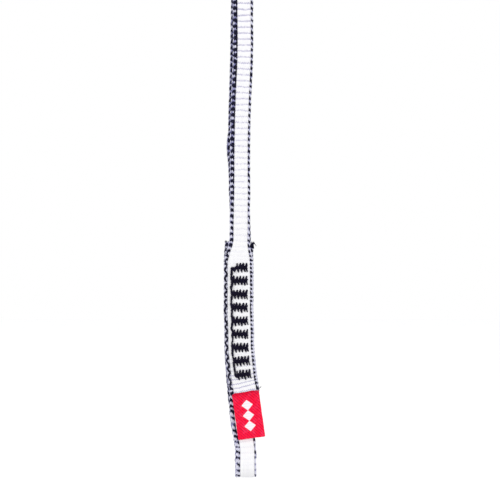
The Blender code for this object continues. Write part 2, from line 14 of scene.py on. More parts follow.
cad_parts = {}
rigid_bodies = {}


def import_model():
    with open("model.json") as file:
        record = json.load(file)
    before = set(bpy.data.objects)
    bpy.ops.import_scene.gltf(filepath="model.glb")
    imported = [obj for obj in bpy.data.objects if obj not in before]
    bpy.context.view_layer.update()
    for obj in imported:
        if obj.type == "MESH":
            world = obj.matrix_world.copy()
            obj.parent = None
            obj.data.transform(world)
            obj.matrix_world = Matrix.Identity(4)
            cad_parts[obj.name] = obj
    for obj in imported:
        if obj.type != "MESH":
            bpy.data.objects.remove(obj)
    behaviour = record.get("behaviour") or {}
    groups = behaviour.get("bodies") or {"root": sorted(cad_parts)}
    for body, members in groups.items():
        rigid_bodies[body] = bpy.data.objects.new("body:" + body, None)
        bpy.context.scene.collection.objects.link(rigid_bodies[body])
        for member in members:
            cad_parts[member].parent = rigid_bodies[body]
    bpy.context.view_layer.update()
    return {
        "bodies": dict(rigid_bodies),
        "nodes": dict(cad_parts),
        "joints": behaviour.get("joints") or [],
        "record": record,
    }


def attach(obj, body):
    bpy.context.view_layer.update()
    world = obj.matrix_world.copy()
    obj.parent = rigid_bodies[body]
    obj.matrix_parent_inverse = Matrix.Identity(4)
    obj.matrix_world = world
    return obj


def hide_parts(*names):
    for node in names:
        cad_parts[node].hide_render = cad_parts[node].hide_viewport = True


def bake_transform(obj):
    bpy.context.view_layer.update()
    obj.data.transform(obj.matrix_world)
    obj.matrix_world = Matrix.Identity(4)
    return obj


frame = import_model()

LOG = logging.getLogger("sling")

MM = 0.001
NOISE_KNOTS = 4096
FIRST_KNOT = 1024.0
MIX_COLOURS = (6, 7)
MIX_RESULT = 2

Array = np.ndarray
Along = Callable[[Array], Array]
Colour = tuple[float, float, float]
Range = tuple[float, float]
Pairs = tuple[tuple[float, float], ...]
Socket = bpy.types.NodeSocket
Value = float | Socket
Paint = Colour | Socket
Inputs = dict[str | int, Value | Paint]


class Side(Enum):
    """The webbing's two edges, as the sign of the way across."""

    LEFT = -1
    RIGHT = 1


class Ply(Enum):
    """The two yarns that are laid round each other in a selvedge, as their share of grey."""

    DARK = 0.0
    GREY = 1.0


class Strand(Enum):
    """The two strands of the loop, as they come along the webbing."""

    FRONT = "front"
    REAR = "rear"


def eased(share: Array) -> Array:
    """A smooth step: t squared times (3 - 2t), with t held from 0 to 1.

    Args:
        share: How far along the step.

    Returns:
        The eased share.
    """
    held = np.clip(share, 0.0, 1.0)
    return held * held * (3.0 - 2.0 * held)


def through(pairs: Pairs, at: Array) -> Array:
    """A cubic Hermite curve through the pairs, with the slopes that np.gradient gives.

    Args:
        pairs: Places and values, in order of place.
        at: The places where the curve is wanted.

    Returns:
        The curve's values there.
    """
    place, value = np.array(pairs).T
    slope = np.gradient(value, place)
    step = np.clip(np.searchsorted(place, at, side="right") - 1, 0, len(place) - 2)
    span = place[step + 1] - place[step]
    t = np.clip((at - place[step]) / span, 0.0, 1.0)
    rest = 1.0 - t
    return (
        (1.0 + 2.0 * t) * rest * rest * value[step]
        + t * rest * rest * span * slope[step]
        + t * t * (3.0 - 2.0 * t) * value[step + 1]
        - t * t * rest * span * slope[step + 1]
    )


def unit(vectors: Array) -> Array:
    """The vectors at length one."""
    return vectors / np.linalg.norm(vectors, axis=-1, keepdims=True)


def wander(places: Array, pitch: float, seed: int) -> Array:
    """Smooth noise from -1 to 1: random values a pitch apart with eased steps between them.

    Args:
        places: Where the noise is wanted, along one line.
        pitch: The distance between two random values.
        seed: The seed of the random values.

    Returns:
        One value for each place.
    """
    knots = np.random.default_rng(seed).uniform(-1.0, 1.0, NOISE_KNOTS)
    steps = places / pitch + FIRST_KNOT
    low = np.floor(steps).astype(int)
    share = eased(steps - low)
    return knots[low % NOISE_KNOTS] * (1.0 - share) + knots[(low + 1) % NOISE_KNOTS] * share


@dataclass(frozen=True)
class Waver:
    """A smooth unevenness along a line.

    Attributes:
        size: How far it goes to each side.
        pitch: The distance between two of its random values.
        seed: The seed of the random values.
    """

    size: float
    pitch: float
    seed: int

    def at(self, places: Array, seed: int = 0) -> Array:
        """The unevenness at places along the line, with a further seed added to its own."""
        return self.size * wander(places, self.pitch, self.seed + seed)


@dataclass
class MeshStock:
    """Closed tubes of points gathered into one mesh, with a UV map and a tint for each point."""

    vertices: list[Array] = field(default_factory=list)
    corners: list[Array] = field(default_factory=list)
    totals: list[Array] = field(default_factory=list)
    places: list[Array] = field(default_factory=list)
    tints: list[Array] = field(default_factory=list)
    rims: list[Array] = field(default_factory=list)
    count: int = 0

    def add_tube(self, points: Array, uv: Array, tint: Array | float = 0.0) -> None:
        """Adds a tube, row by row along it and column by column round it, closed by a cap at each end.

        The faces join each point to its neighbours in the next row and column. The tube is turned
        outwards when its signed volume, the sum of the faces' triple products, is below zero.

        Args:
            points: The points, as rows by columns by 3.
            uv: The UV places, as rows by (columns + 1) by 2, so that the last column closes it.
            tint: The tint of each point, or one for all.
        """
        rows, columns = points.shape[:2]
        index = np.arange(rows * columns).reshape(rows, columns)
        after = np.roll(index, -1, axis=1)
        quads = np.stack([index[:-1], after[:-1], after[1:], index[1:]], axis=-1).reshape(-1, 4)
        spots = np.stack([uv[:-1, :-1], uv[:-1, 1:], uv[1:, 1:], uv[1:, :-1]], axis=2).reshape(-1, 4, 2)
        first, last = index[0][::-1], index[-1]
        flat = points.reshape(-1, 3)
        a, b, c, d = (flat[quads[:, k]] - flat.mean(axis=0) for k in range(4))
        volume = np.einsum("ij,ij->", a, np.cross(b, c)) + np.einsum("ij,ij->", a, np.cross(c, d))
        if volume < 0.0:
            quads, spots = quads[:, ::-1], spots[:, ::-1]
            first, last = first[::-1], last[::-1]
        ends = uv[0, first % columns], uv[-1, last % columns]
        self.vertices.append(flat)
        self.corners.append(np.concatenate([quads.ravel(), first, last]) + self.count)
        self.totals.append(np.concatenate([np.full(len(quads), 4), [columns, columns]]))
        self.places.append(np.concatenate([spots.reshape(-1, 2), *ends]))
        self.tints.append(np.broadcast_to(tint, (rows, columns)).ravel())
        self.rims.append(np.concatenate([first, last]) + self.count)
        self.count += rows * columns

    def add_yarn(
        self, line: Array, reference: Array, radius: Array | float, sides: int, twist: float,
        tint: Array | float = 0.0, flat: Array | float = 1.0,
    ) -> None:
        """Adds a yarn: circles carried along a line, each the line's point plus the radius times the
        cosine and sine of an angle along two unit vectors square to the line.

        Its U is the way along it in turns of its twist, and its V the share of the way round it.

        Args:
            line: The points of the line.
            reference: A direction that is never along the line, or one for each point.
            radius: The yarn's radius, or one for each point.
            sides: The number of points round it.
            twist: The length of one turn of its twist.
            tint: The tint, or one for each point of the line.
            flat: How thick it is along the reference, as a share of its radius, or one for each point.
        """
        along = unit(np.gradient(line, axis=0))
        reference = np.broadcast_to(reference, line.shape)
        first = unit(reference - np.einsum("ij,ij->i", reference, along)[:, None] * along)
        second = np.cross(along, first)
        angle = np.arange(sides) * 2.0 * math.pi / sides
        size, flat = (np.broadcast_to(value, len(line))[:, None, None] for value in (radius, flat))
        ring = first[:, None] * np.cos(angle)[:, None] * flat + second[:, None] * np.sin(angle)[:, None]
        steps = np.linalg.norm(np.diff(line, axis=0), axis=1)
        turns = np.concatenate([[0.0], np.cumsum(steps)]) / twist
        share = np.linspace(0.0, 1.0, sides + 1)
        uv = np.stack(np.broadcast_arrays(turns[:, None], share), axis=-1)
        self.add_tube(line[:, None] + size * ring, uv, np.reshape(tint, (-1, 1)))

    def build(self, name: str, material: bpy.types.Material) -> bpy.types.Object:
        """Makes the mesh and its object, smooth but for the caps' rims.

        Args:
            name: The piece's name.
            material: Its finish.

        Returns:
            The piece, at the origin.
        """
        vertices = np.concatenate(self.vertices)
        corners = np.concatenate(self.corners).astype(np.int32)
        totals = np.concatenate(self.totals).astype(np.int32)
        mesh = bpy.data.meshes.new(name)
        mesh.vertices.add(len(vertices))
        mesh.vertices.foreach_set("co", vertices.astype(np.float32).ravel())
        mesh.loops.add(len(corners))
        mesh.loops.foreach_set("vertex_index", corners)
        mesh.polygons.add(len(totals))
        mesh.polygons.foreach_set("loop_start", np.cumsum(totals) - totals)
        mesh.update(calc_edges=True)
        mesh.polygons.foreach_set("use_smooth", np.ones(len(totals), bool))
        layer = mesh.uv_layers.new(name="weave")
        layer.uv.foreach_set("vector", np.concatenate(self.places).astype(np.float32).ravel())
        tint = mesh.attributes.new("tint", "FLOAT", "POINT")
        tint.data.foreach_set("value", np.concatenate(self.tints).astype(np.float32))
        rim = np.zeros(len(vertices), bool)
        rim[np.concatenate(self.rims)] = True
        ends = np.zeros(len(mesh.edges) * 2, np.int32)
        mesh.edges.foreach_get("vertices", ends)
        sharp = mesh.attributes.new("sharp_edge", "BOOLEAN", "EDGE")
        sharp.data.foreach_set("value", rim[ends].reshape(-1, 2).all(axis=1))
        mesh.validate()
        mesh.materials.append(material)
        piece = bpy.data.objects.new(name, mesh)
        bpy.context.scene.collection.objects.link(piece)
        LOG.info("%s: %d faces", name, len(mesh.polygons))
        return piece


@dataclass(frozen=True)
class SlingSizes:
    """The lengths that the looks share with the solids, in metres, and the sway as shares."""

    length: float = 0.300
    sway_unit: float = 0.008
    web_width: float = 0.0080
    aside: float = 0.0002
    web_thickness: float = 0.002
    fit_gap: float = 0.0003
    top_inside_radius: float = 0.0055
    bottom_inside_radius: float = 0.003
    bottom_width: float = 0.0084
    bottom_flare: float = 0.012
    bottom_spread: float = 0.00275
    seam_start: float = -0.2036
    seam_end: float = -0.2636
    seam_width: float = 0.0118
    lower_inset: float = 0.0003
    seam_thickness: float = 0.0014
    spread_rise: float = 0.0016
    spread_length: float = 0.0105
    thin_length: float = 0.006
    narrow_drop: float = 0.003
    narrow_length: float = 0.018
    label_room: float = 0.0009
    label_root: float = 0.0095
    lower_face: float = -0.001
    rear_depth: float = 0.0025
    front_sway: Pairs = (
        (0.0, 0.0), (0.05, 0.0), (0.2, 0.0125), (0.356, 0.025), (0.436, 0.0275), (0.489, -0.06),
        (0.548, -0.115), (0.623, -0.115), (0.66, -0.135), (0.692, -0.195), (0.74, -0.2), (0.77, -0.205),
        (0.796, -0.175), (0.823, -0.155), (0.844, -0.075), (0.86, -0.01), (0.876, 0.075),
        (0.889, 0.06), (0.9, 0.045), (0.911, 0.015), (0.921, 0.01), (0.932, 0.035), (0.943, 0.08),
        (0.953, 0.1325), (0.964, 0.1375), (0.977, 0.1375), (1.0, 0.1375),
    )
    rear_sway: Pairs = (
        (0.0, 0.0), (0.05, 0.0), (0.12, 0.0), (0.356, -0.07), (0.436, -0.12), (0.476, -0.165),
        (0.516, -0.2), (0.532, -0.215), (0.548, -0.29), (0.564, -0.25), (0.58, -0.205),
        (0.62, -0.16), (0.652, -0.115), (0.676, -0.105), (0.756, -0.24), (0.81, -0.42),
        (0.876, -0.28), (0.889, -0.24), (0.9, -0.155), (0.911, -0.105), (0.921, -0.05), (0.943, 0.08),
        (0.953, 0.13), (0.964, 0.1375), (0.977, 0.1375), (1.0, 0.1375),
    )

    @property
    def top_centre(self) -> float:
        """The height of the top bight's centre."""
        return -self.top_inside_radius

    @property
    def top_radius(self) -> float:
        """The radius of the top bight, at the middle of the web."""
        return self.top_inside_radius + self.web_thickness / 2

    @property
    def bottom_radius(self) -> float:
        """The radius of the bottom bight, at the middle of the web."""
        return self.bottom_inside_radius + self.web_thickness / 2

    @property
    def bottom_centre(self) -> float:
        """The height of the bottom bight's centre."""
        return self.web_thickness - self.length + self.bottom_inside_radius + self.web_thickness

    def sway_front(self, height: Array) -> Array:
        """How far the front strand and the lower layer lie to the right at a height."""
        return self.swayed(self.front_sway, height)

    def sway_rear(self, height: Array) -> Array:
        """How far the rear strand lies to the right at a height."""
        return self.swayed(self.rear_sway, height)

    def swayed(self, sway: Pairs, height: Array) -> Array:
        """The curve through the sway at a height, less the way that the free strands lie aside."""
        share = -height / self.length
        return self.sway_unit * through(sway, share) - self.aside * self.free_share(height)

    def free_share(self, height: Array) -> Array:
        """The share of a height in the free strands, from 1 above the seam to 0 in it."""
        return 1.0 - eased((self.seam_start + self.spread_length - height) / self.spread_length)

    def narrowing(self, height: Array) -> Array:
        """How far the web has narrowed to the bottom bight, from 0 to 1."""
        return eased((self.seam_end - self.narrow_drop - height) / self.narrow_length)

    def seam_width_at(self, height: Array) -> Array:
        """The width of the front strand: free above the seam, and spread in it."""
        share = eased((self.seam_start + self.spread_rise - height) / self.spread_length)
        return self.web_width + (self.seam_width - self.web_width) * share

    def lower_width_at(self, height: Array) -> Array:
        """The width of the lower layer: spread from its cut end on, then narrowed to the bottom bight.

        Args:
            height: The height of each point.

        Returns:
            The width there.
        """
        start = eased(1.0 - (self.seam_start - height) / self.spread_length)
        spread = self.seam_width - self.lower_inset * start
        return spread + (self.bottom_width - spread) * self.narrowing(height)

    def rear_width_at(self, height: Array) -> Array:
        """The width of the rear strand."""
        return self.web_width + (self.bottom_width - self.web_width) * self.narrowing(height)

    def seam_thickness_at(self, height: Array) -> Array:
        """The thickness of a layer, which is pressed thin between the seam's two ends.

        Args:
            height: The height of each point.

        Returns:
            The thickness there.
        """
        above = eased((height - self.seam_start) / self.thin_length)
        below = eased((self.seam_end - height) / self.thin_length)
        return self.seam_thickness + (self.web_thickness - self.seam_thickness) * (above + below)

    def rear_thickness_at(self, height: Array) -> Array:
        """The thickness of the rear strand, which is the same all over."""
        return self.web_thickness + 0 * height

    def layer_gap(self, height: Array) -> Array:
        """The gap between the seam's layers, wider where the label's root lies in it.

        Args:
            height: The height of each point.

        Returns:
            The gap there.
        """
        top = self.seam_end + self.label_root
        start = (self.seam_start + self.seam_end) / 2
        share = np.where(height < top, 1.0, (start - height) / (start - top))
        return self.fit_gap + self.label_room * eased(share)

    def flare(self, height: Array) -> Array:
        """How far each strand leans away from the other towards the bottom bight."""
        begin = self.bottom_centre + self.bottom_flare
        return self.bottom_spread * eased((begin - height) / self.bottom_flare)

    def opening_share(self, height: Array) -> Array:
        """How far the loop has opened from the seam to the top bight, from 0 to 1."""
        return np.clip((height - self.seam_start) / (self.top_centre - self.seam_start), 0.0, 1.0)

    def front_depth(self, height: Array) -> Array:
        """The depth of the front strand's and the upper layer's middle."""
        in_seam = self.lower_face - self.layer_gap(height) - self.seam_thickness / 2
        return in_seam + (-self.top_radius - in_seam) * self.opening_share(height)

    def lower_depth(self, height: Array) -> Array:
        """The depth of the lower layer's middle."""
        return self.lower_face + self.seam_thickness_at(height) / 2 - self.flare(height)

    def front_face(self, height: Array) -> Array:
        """The depth of the upper layer's front face."""
        return self.front_depth(height) - self.seam_thickness / 2

    def rear_depth_at(self, height: Array) -> Array:
        """The depth of the rear strand's middle."""
        rise = self.top_radius - self.rear_depth
        return self.rear_depth + rise * self.opening_share(height) + self.flare(height)


@dataclass
class Course:
    """The line that webbing follows, with its section at each point.

    Attributes:
        points: The middle of the section.
        across: Unit vectors towards the right selvedge.
        outward: Unit vectors out of the web's outer face.
        along: Unit vectors along the line.
        way: The distance along the line.
        width: The width over both selvedges.
        thickness: The thickness.
        ribs: The count of the weave's ribs.
        shade: How much lilac shade the web's material paints into the grooves between the ribs.
        pressed: How far the web is spread and pressed by the seam, from 0 to 1.
    """

    points: Array
    across: Array
    outward: Array
    along: Array
    way: Array
    width: Array
    thickness: Array
    ribs: Array
    shade: Array
    pressed: Array

    def share(self) -> Array:
        """The share of the way at each point, from 0 to 1."""
        return (self.way - self.way[0]) / (self.way[-1] - self.way[0])

    def part(self, begin: float, end: float, step: int) -> "Course":
        """The course between two distances, with every step-th point and both ends.

        Args:
            begin: Where the part starts, as a distance along the line.
            end: Where it ends.
            step: How many points to go on by.

        Returns:
            The part.
        """
        low, high = np.searchsorted(self.way, [begin, end])
        high = min(int(high), len(self.way) - 1)
        count = max(2, round((high - low) / step) + 1)
        keep = np.round(np.linspace(low, high, count)).astype(int)
        return Course(*(getattr(self, entry.name)[keep] for entry in fields(self)))


@dataclass(frozen=True)
class Meetings:
    """Where the lengths of webbing meet, as distances along the course."""

    front: float
    rear: float
    seam: float
    end: float


@dataclass
class SlingCourse:
    """The line of the whole webbing, from the upper layer's cut end over both bights to the lower's."""

    sizes: SlingSizes = field(default_factory=SlingSizes)
    step: float = 0.0001
    free_pitch: float = 0.00236
    seam_pitch: float = 0.00162
    bottom_pitch: float = 0.0023
    first_groove: float = -0.1319
    rear_lead: float = 0.4
    front_meeting: float = -0.13898
    rear_meeting: float = -0.1425
    seam_meeting: float = -0.2325
    # Painted shade: how much lilac shade is painted into the web's grooves, by the share of the length
    # down the front and behind it.
    front_shade: Pairs = (
        (0.0, 1.5), (0.37, 1.5), (0.43, 1.15), (0.5, 0.8), (0.62, 0.5), (0.67, 0.3), (0.83, 0.3),
        (0.855, 1.0), (0.865, 1.6), (0.9, 1.6),
    )
    rear_shade: Pairs = ((0.0, 1.0), (0.5, 0.8), (0.9, 0.5), (0.945, 0.25), (0.97, 0.1), (1.0, 0.1))
    corners: Array = field(init=False)
    meetings: Meetings = field(init=False)

    def strand(
        self, top: float, bottom: float, sway: Along, depth: Along, width: Along, thickness: Along
    ) -> Array:
        """Rows of (x, y, z, width, thickness) down a strand.

        Args:
            top: The height where it starts.
            bottom: The height where it ends.
            sway: Gives the way to the right at a height.
            depth: Gives the depth at a height.
            width: Gives the width at a height.
            thickness: Gives the thickness at a height.

        Returns:
            The rows.
        """
        height = np.linspace(top, bottom, round((top - bottom) / self.step) + 1)
        return np.stack([sway(height), depth(height), height, width(height), thickness(height)], axis=1)

    def bight(
        self, ways: tuple[float, float], centre: tuple[float, float], radius: float,
        half_turn: tuple[float, float], width: float,
    ) -> Array:
        """Rows of (x, y, z, width, thickness) round half a circle: the centre plus the radius times the
        angle's cosine and sine, while x eases from the first strand's way across to the second's.

        Args:
            ways: The way to the right where the bight starts and ends.
            centre: The circle's centre, as depth and height.
            radius: Its radius.
            half_turn: The angles where it starts and ends.
            width: The width.

        Returns:
            The rows, without the first and the last.
        """
        angle = np.linspace(*half_turn, round(math.pi * radius / self.step) + 1)[1:-1]
        y, z = centre
        share = eased((angle - half_turn[0]) / (half_turn[1] - half_turn[0]))
        x = ways[0] + (ways[1] - ways[0]) * share
        values = (x, y + radius * np.cos(angle), z + radius * np.sin(angle))
        return np.stack([*values, width + 0 * angle, self.sizes.web_thickness + 0 * angle], axis=1)

    def rows(self) -> tuple[Array, Array]:
        """Joins the strands and the bights.

        Returns:
            Rows of (x, y, z, width, thickness) along the webbing, and the numbers of the rows where the
            top bight and the rear strand start and where the bottom bight starts.
        """
        s = self.sizes
        front = self.strand(
            s.top_centre, s.seam_end, s.sway_front, s.front_depth, s.seam_width_at, s.seam_thickness_at
        )
        rear = self.strand(
            s.top_centre, s.bottom_centre, s.sway_rear, s.rear_depth_at, s.rear_width_at,
            s.rear_thickness_at,
        )
        lower = self.strand(
            s.seam_start, s.bottom_centre, s.sway_front, s.lower_depth, s.lower_width_at,
            s.seam_thickness_at,
        )
        ways = front[0, 0], rear[0, 0]
        top = self.bight(ways, (0.0, s.top_centre), s.top_radius, (math.pi, 0.0), s.web_width)
        ways, centre = (rear[-1, 0], lower[-1, 0]), ((rear[-1, 1] + lower[-1, 1]) / 2, s.bottom_centre)
        bottom = self.bight(ways, centre, s.bottom_radius, (0.0, -math.pi), s.bottom_width)
        starts = np.cumsum([len(front), len(top), len(rear)])
        return np.concatenate([front[::-1], top, rear, bottom, lower[::-1]]), starts

    def build(self) -> Course:
        """Puts points at even steps along the strands and bights and works out their sections.

        Returns:
            The whole course.
        """
        rows, starts = self.rows()
        lengths = np.linalg.norm(np.diff(rows[:, :3], axis=0), axis=1)
        raw = np.concatenate([[0.0], np.cumsum(lengths)])
        self.corners = raw[starts]
        way = np.linspace(0.0, raw[-1], round(raw[-1] / self.step) + 1)
        x, y, height, width, thickness = (np.interp(way, raw, column) for column in rows.T)
        points = np.stack([x, y, height], axis=1)
        along = unit(np.gradient(points, axis=0))
        across = unit(np.array([1.0, 0.0, 0.0]) - along[:, :1] * along)
        outward = np.cross(across, along)
        pressed = self.pressed(height, way)
        ribs = self.ribs(height, way, pressed)
        shade = self.shade(height, way)
        self.meetings = Meetings(
            front=self.way_at(height, way, self.front_meeting, Strand.FRONT),
            rear=self.way_at(height, way, self.rear_meeting, Strand.REAR),
            seam=self.way_at(height, way, self.seam_meeting, Strand.REAR),
            end=float(way[-1]),
        )
        return Course(points, across, outward, along, way, width, thickness, ribs, shade, pressed)

    def ribs(self, height: Array, way: Array, pressed: Array) -> Array:
        """The count of ribs: the sum of the steps over the pitch, from the first groove on.

        The rear strand's lead is added to it, eased over the top bight.

        Args:
            height: The height of each point.
            way: The distance along the course.
            pressed: How far the web is pressed there.

        Returns:
            The count at each point.
        """
        pitch = self.pitch(height, pressed)
        ribs = np.concatenate([[0.0], np.cumsum(self.step / pitch[1:])])
        ribs -= np.interp(self.way_at(height, way, self.first_groove, Strand.FRONT), way, ribs)
        top_bight = (way - self.corners[0]) / (self.corners[1] - self.corners[0])
        return ribs + self.rear_lead * eased(top_bight)

    def shade(self, height: Array, way: Array) -> Array:
        """How much shade is painted into the grooves: by height down the front, and by height behind it.

        Args:
            height: The height of each point.
            way: The distance along the course.

        Returns:
            The share at each point.
        """
        share = -height / self.sizes.length
        front = way < self.corners[0]
        return np.where(front, through(self.front_shade, share), through(self.rear_shade, share))

    def pressed(self, height: Array, way: Array) -> Array:
        """How far the web is pressed: 1 in the seam's layers, eased to 0 past its ends, 0 on the rear.

        Args:
            height: The height of each point.
            way: The distance along the course.

        Returns:
            The share at each point.
        """
        s = self.sizes
        on_rear = (way > self.corners[0]) & (way < self.corners[2])
        share = eased((s.seam_start + s.spread_rise - height) / s.spread_length)
        share = share * (1.0 - eased((s.seam_end + s.thin_length - height) / s.spread_length))
        return np.where(on_rear, 0.0, share)

    def pitch(self, height: Array, pressed: Array) -> Array:
        """The ribs' pitch: short where the web is pressed, and a little short in the bottom bight.

        Args:
            height: The height of each point.
            pressed: How far the web is pressed there.

        Returns:
            The pitch at each point.
        """
        s = self.sizes
        low = eased((s.bottom_centre + s.bottom_flare * 2 - height) / s.bottom_flare)
        shorter = (self.seam_pitch - self.free_pitch) * pressed
        return self.free_pitch + shorter + (self.bottom_pitch - self.free_pitch) * low

    def way_at(self, heights: Array, way: Array, height: float, strand: Strand) -> float:
        """The distance along the course where a strand passes a height.

        Args:
            heights: The height of each point.
            way: The distance along the course.
            height: The height to find.
            strand: The strand.

        Returns:
            The distance.
        """
        begin, end = (0.0, self.corners[0]) if strand is Strand.FRONT else self.corners[1:]
        inside = (way >= begin) & (way <= end)
        return float(way[inside][np.argmin(np.abs(heights[inside] - height))])


@dataclass(frozen=True)
class Grain:
    """A noise that is stretched over a surface."""

    across: float
    down: float
    scale: float
    detail: float = 2.0


@dataclass(frozen=True)
class Graph:
    """A short way to write shader nodes."""

    tree: bpy.types.NodeTree

    def node(
        self, kind: str, inputs: Inputs | None = None, **settings: str | bpy.types.NodeTree
    ) -> bpy.types.Node:
        """Adds a node.

        Args:
            kind: The node's type, without the words ShaderNode.
            inputs: Its inputs' values or the sockets that feed them.
            settings: Its settings.

        Returns:
            The node.
        """
        node = self.tree.nodes.new("ShaderNode" + kind)
        for name, value in settings.items():
            setattr(node, name, value)
        self.feed(node, inputs or {})
        return node

    def feed(self, node: bpy.types.Node, inputs: Inputs) -> None:
        """Links a node's inputs to the values that are sockets, and sets the others.

        Args:
            node: The node.
            inputs: A number, an opaque colour or a socket for each of the inputs.
        """
        for key, value in inputs.items():
            if isinstance(value, Socket):
                self.tree.links.new(value, node.inputs[key])
            else:
                node.inputs[key].default_value = (*value, 1.0) if isinstance(value, tuple) else value

    def math(self, operation: str, *values: Value) -> Socket:
        """One Math node's result."""
        return self.node("Math", dict(enumerate(values)), operation=operation).outputs[0]

    def times(self, first: Value, second: Value) -> Socket:
        """The product of two values."""
        return self.math("MULTIPLY", first, second)

    def step(self, value: Value, given: tuple[Value, Value], result: Range = (0.0, 1.0)) -> Socket:
        """A smooth step of a value over the given range, from the result's start to its end.

        Args:
            value: The value.
            given: The value where the step starts and where it ends.
            result: What comes out at its start and at its end.

        Returns:
            The stepped value.
        """
        inputs = {
            "Value": value, "From Min": given[0], "From Max": given[1],
            "To Min": result[0], "To Max": result[1],
        }
        return self.node("MapRange", inputs, interpolation_type="SMOOTHSTEP").outputs[0]

    def mix(self, share: Value, first: Paint, second: Paint) -> Socket:
        """A colour between two.

        Args:
            share: The second colour's share.
            first: The first colour.
            second: The second colour.

        Returns:
            The mixed colour.
        """
        inputs = {0: share} | dict(zip(MIX_COLOURS, (first, second)))
        return self.node("Mix", inputs, data_type="RGBA").outputs[MIX_RESULT]

    def uv(self) -> tuple[Socket, Socket]:
        """The U and V of the piece's own map.

        Returns:
            U and V.
        """
        place = self.node("UVMap", uv_map="weave").outputs[0]
        parts = self.node("SeparateXYZ", {0: place})
        return parts.outputs[0], parts.outputs[1]

    def tint(self) -> Socket:
        """The tint of the piece's points."""
        return self.node("Attribute", attribute_name="tint").outputs["Fac"]

    def noise(self, vector: Socket, scale: float, detail: float = 2.0) -> Socket:
        """Noise about 0.5 at a vector."""
        return self.node("TexNoise", {"Vector": vector, "Scale": scale, "Detail": detail}).outputs[0]

    def grained(self, across: Value, down: Value, grain: Grain, layer: Value = 0.0) -> Socket:
        """Noise about 0.5 that is stretched over a surface.

        Args:
            across: The place across.
            down: The place down.
            grain: The noise.
            layer: The noise's third coordinate.

        Returns:
            The noise's value.
        """
        inputs = {0: self.times(across, grain.across), 1: self.times(down, grain.down), 2: layer}
        return self.noise(self.node("CombineXYZ", inputs).outputs[0], grain.scale, grain.detail)

    def group(self, name: str, **values: Value) -> dict[str, Socket]:
        """Places a shared group with its own values.

        Args:
            name: The group's name.
            values: Its inputs.

        Returns:
            The group's outputs by name.
        """
        node = self.node("Group", values, node_tree=bpy.data.node_groups[name])
        return {socket.name: socket for socket in node.outputs}


def new_group(
    name: str, inputs: tuple[str, ...], outputs: tuple[str, ...]
) -> tuple[Graph, dict[str, Socket], bpy.types.Node]:
    """Starts a shader node group with named float sockets.

    Args:
        name: The group's name.
        inputs: The inputs.
        outputs: The outputs.

    Returns:
        The group's graph, its inputs' sockets by name, and its output node.
    """
    tree = bpy.data.node_groups.new(name, "ShaderNodeTree")
    for way, keys in (("INPUT", inputs), ("OUTPUT", outputs)):
        for key in keys:
            tree.interface.new_socket(key, in_out=way, socket_type="NodeSocketFloat")
    entry = tree.nodes.new("NodeGroupInput")
    leave = tree.nodes.new("NodeGroupOutput")
    return Graph(tree), {socket.name: socket for socket in entry.outputs if socket.name}, leave


def shader(name: str) -> tuple[bpy.types.Material, Graph, bpy.types.Node]:
    """Starts a material.

    Args:
        name: The material's name.

    Returns:
        The material, its graph and its Principled node.
    """
    material = bpy.data.materials.new(name)
    material.use_nodes = True
    return material, Graph(material.node_tree), material.node_tree.nodes["Principled BSDF"]


@dataclass(frozen=True)
class YarnTwist:
    """The group of twisted fibres: slanted ridges along a yarn with uneven, paler hairs on them."""

    hairs: Grain = Grain(0.6, 1.0, 2.3, 3.0)
    hair_range: Range = (0.35, 0.7)

    def build(self) -> None:
        """Builds the group. A ridge is the sine of the way along the yarn plus the way round it."""
        inputs = ("Along", "Round", "Strands", "Seed")
        graph, given, leave = new_group("YarnTwist", inputs, ("Ridge", "Hair"))
        turned = graph.math("ADD", graph.times(given["Round"], given["Strands"]), given["Along"])
        wave = graph.math("SINE", graph.times(turned, 2.0 * math.pi))
        hair = graph.grained(given["Along"], turned, self.hairs, given["Seed"])
        ridge = graph.math("MULTIPLY_ADD", wave, 0.5, 0.5)
        graph.feed(leave, {"Ridge": ridge, "Hair": graph.step(hair, self.hair_range)})


@dataclass(frozen=True)
class RibbedWeave:
    """The group of the web's weave: warp yarns side by side, bound in zigzag grooves a rib apart."""

    waver: Grain = Grain(0.17, 1.0, 0.9, 1.0)
    waver_size: float = 0.3
    fibres: Grain = Grain(3.0, 0.7, 3.0, 3.0)
    yarn_relief: float = 0.5
    fibre_relief: float = 0.4

    def build(self) -> None:
        """Builds the group. A groove is where the rib's fraction comes near to 0 or 1."""
        inputs = ("Yarn", "Rib", "Zigzag", "Groove")
        graph, given, leave = new_group("RibbedWeave", inputs, ("Groove", "Height"))
        zigzag = graph.times(graph.math("PINGPONG", given["Yarn"], 1.0), given["Zigzag"])
        waver = graph.times(graph.grained(given["Yarn"], given["Rib"], self.waver), self.waver_size)
        phase = graph.math("FRACT", graph.math("ADD", given["Rib"], graph.math("ADD", zigzag, waver)))
        away = graph.math("ABSOLUTE", graph.math("SUBTRACT", phase, 0.5))
        near = graph.math("SUBTRACT", 0.5, away)
        groove = graph.step(near, (0.0, given["Groove"]), (1.0, 0.0))
        yarn = graph.math("ABSOLUTE", graph.math("SINE", graph.times(given["Yarn"], math.pi)))
        fibre = graph.grained(given["Yarn"], given["Rib"], self.fibres)
        relief = graph.math(
            "ADD", graph.times(yarn, self.yarn_relief), graph.times(fibre, self.fibre_relief)
        )
        graph.feed(leave, {"Groove": groove, "Height": graph.math("SUBTRACT", relief, groove)})


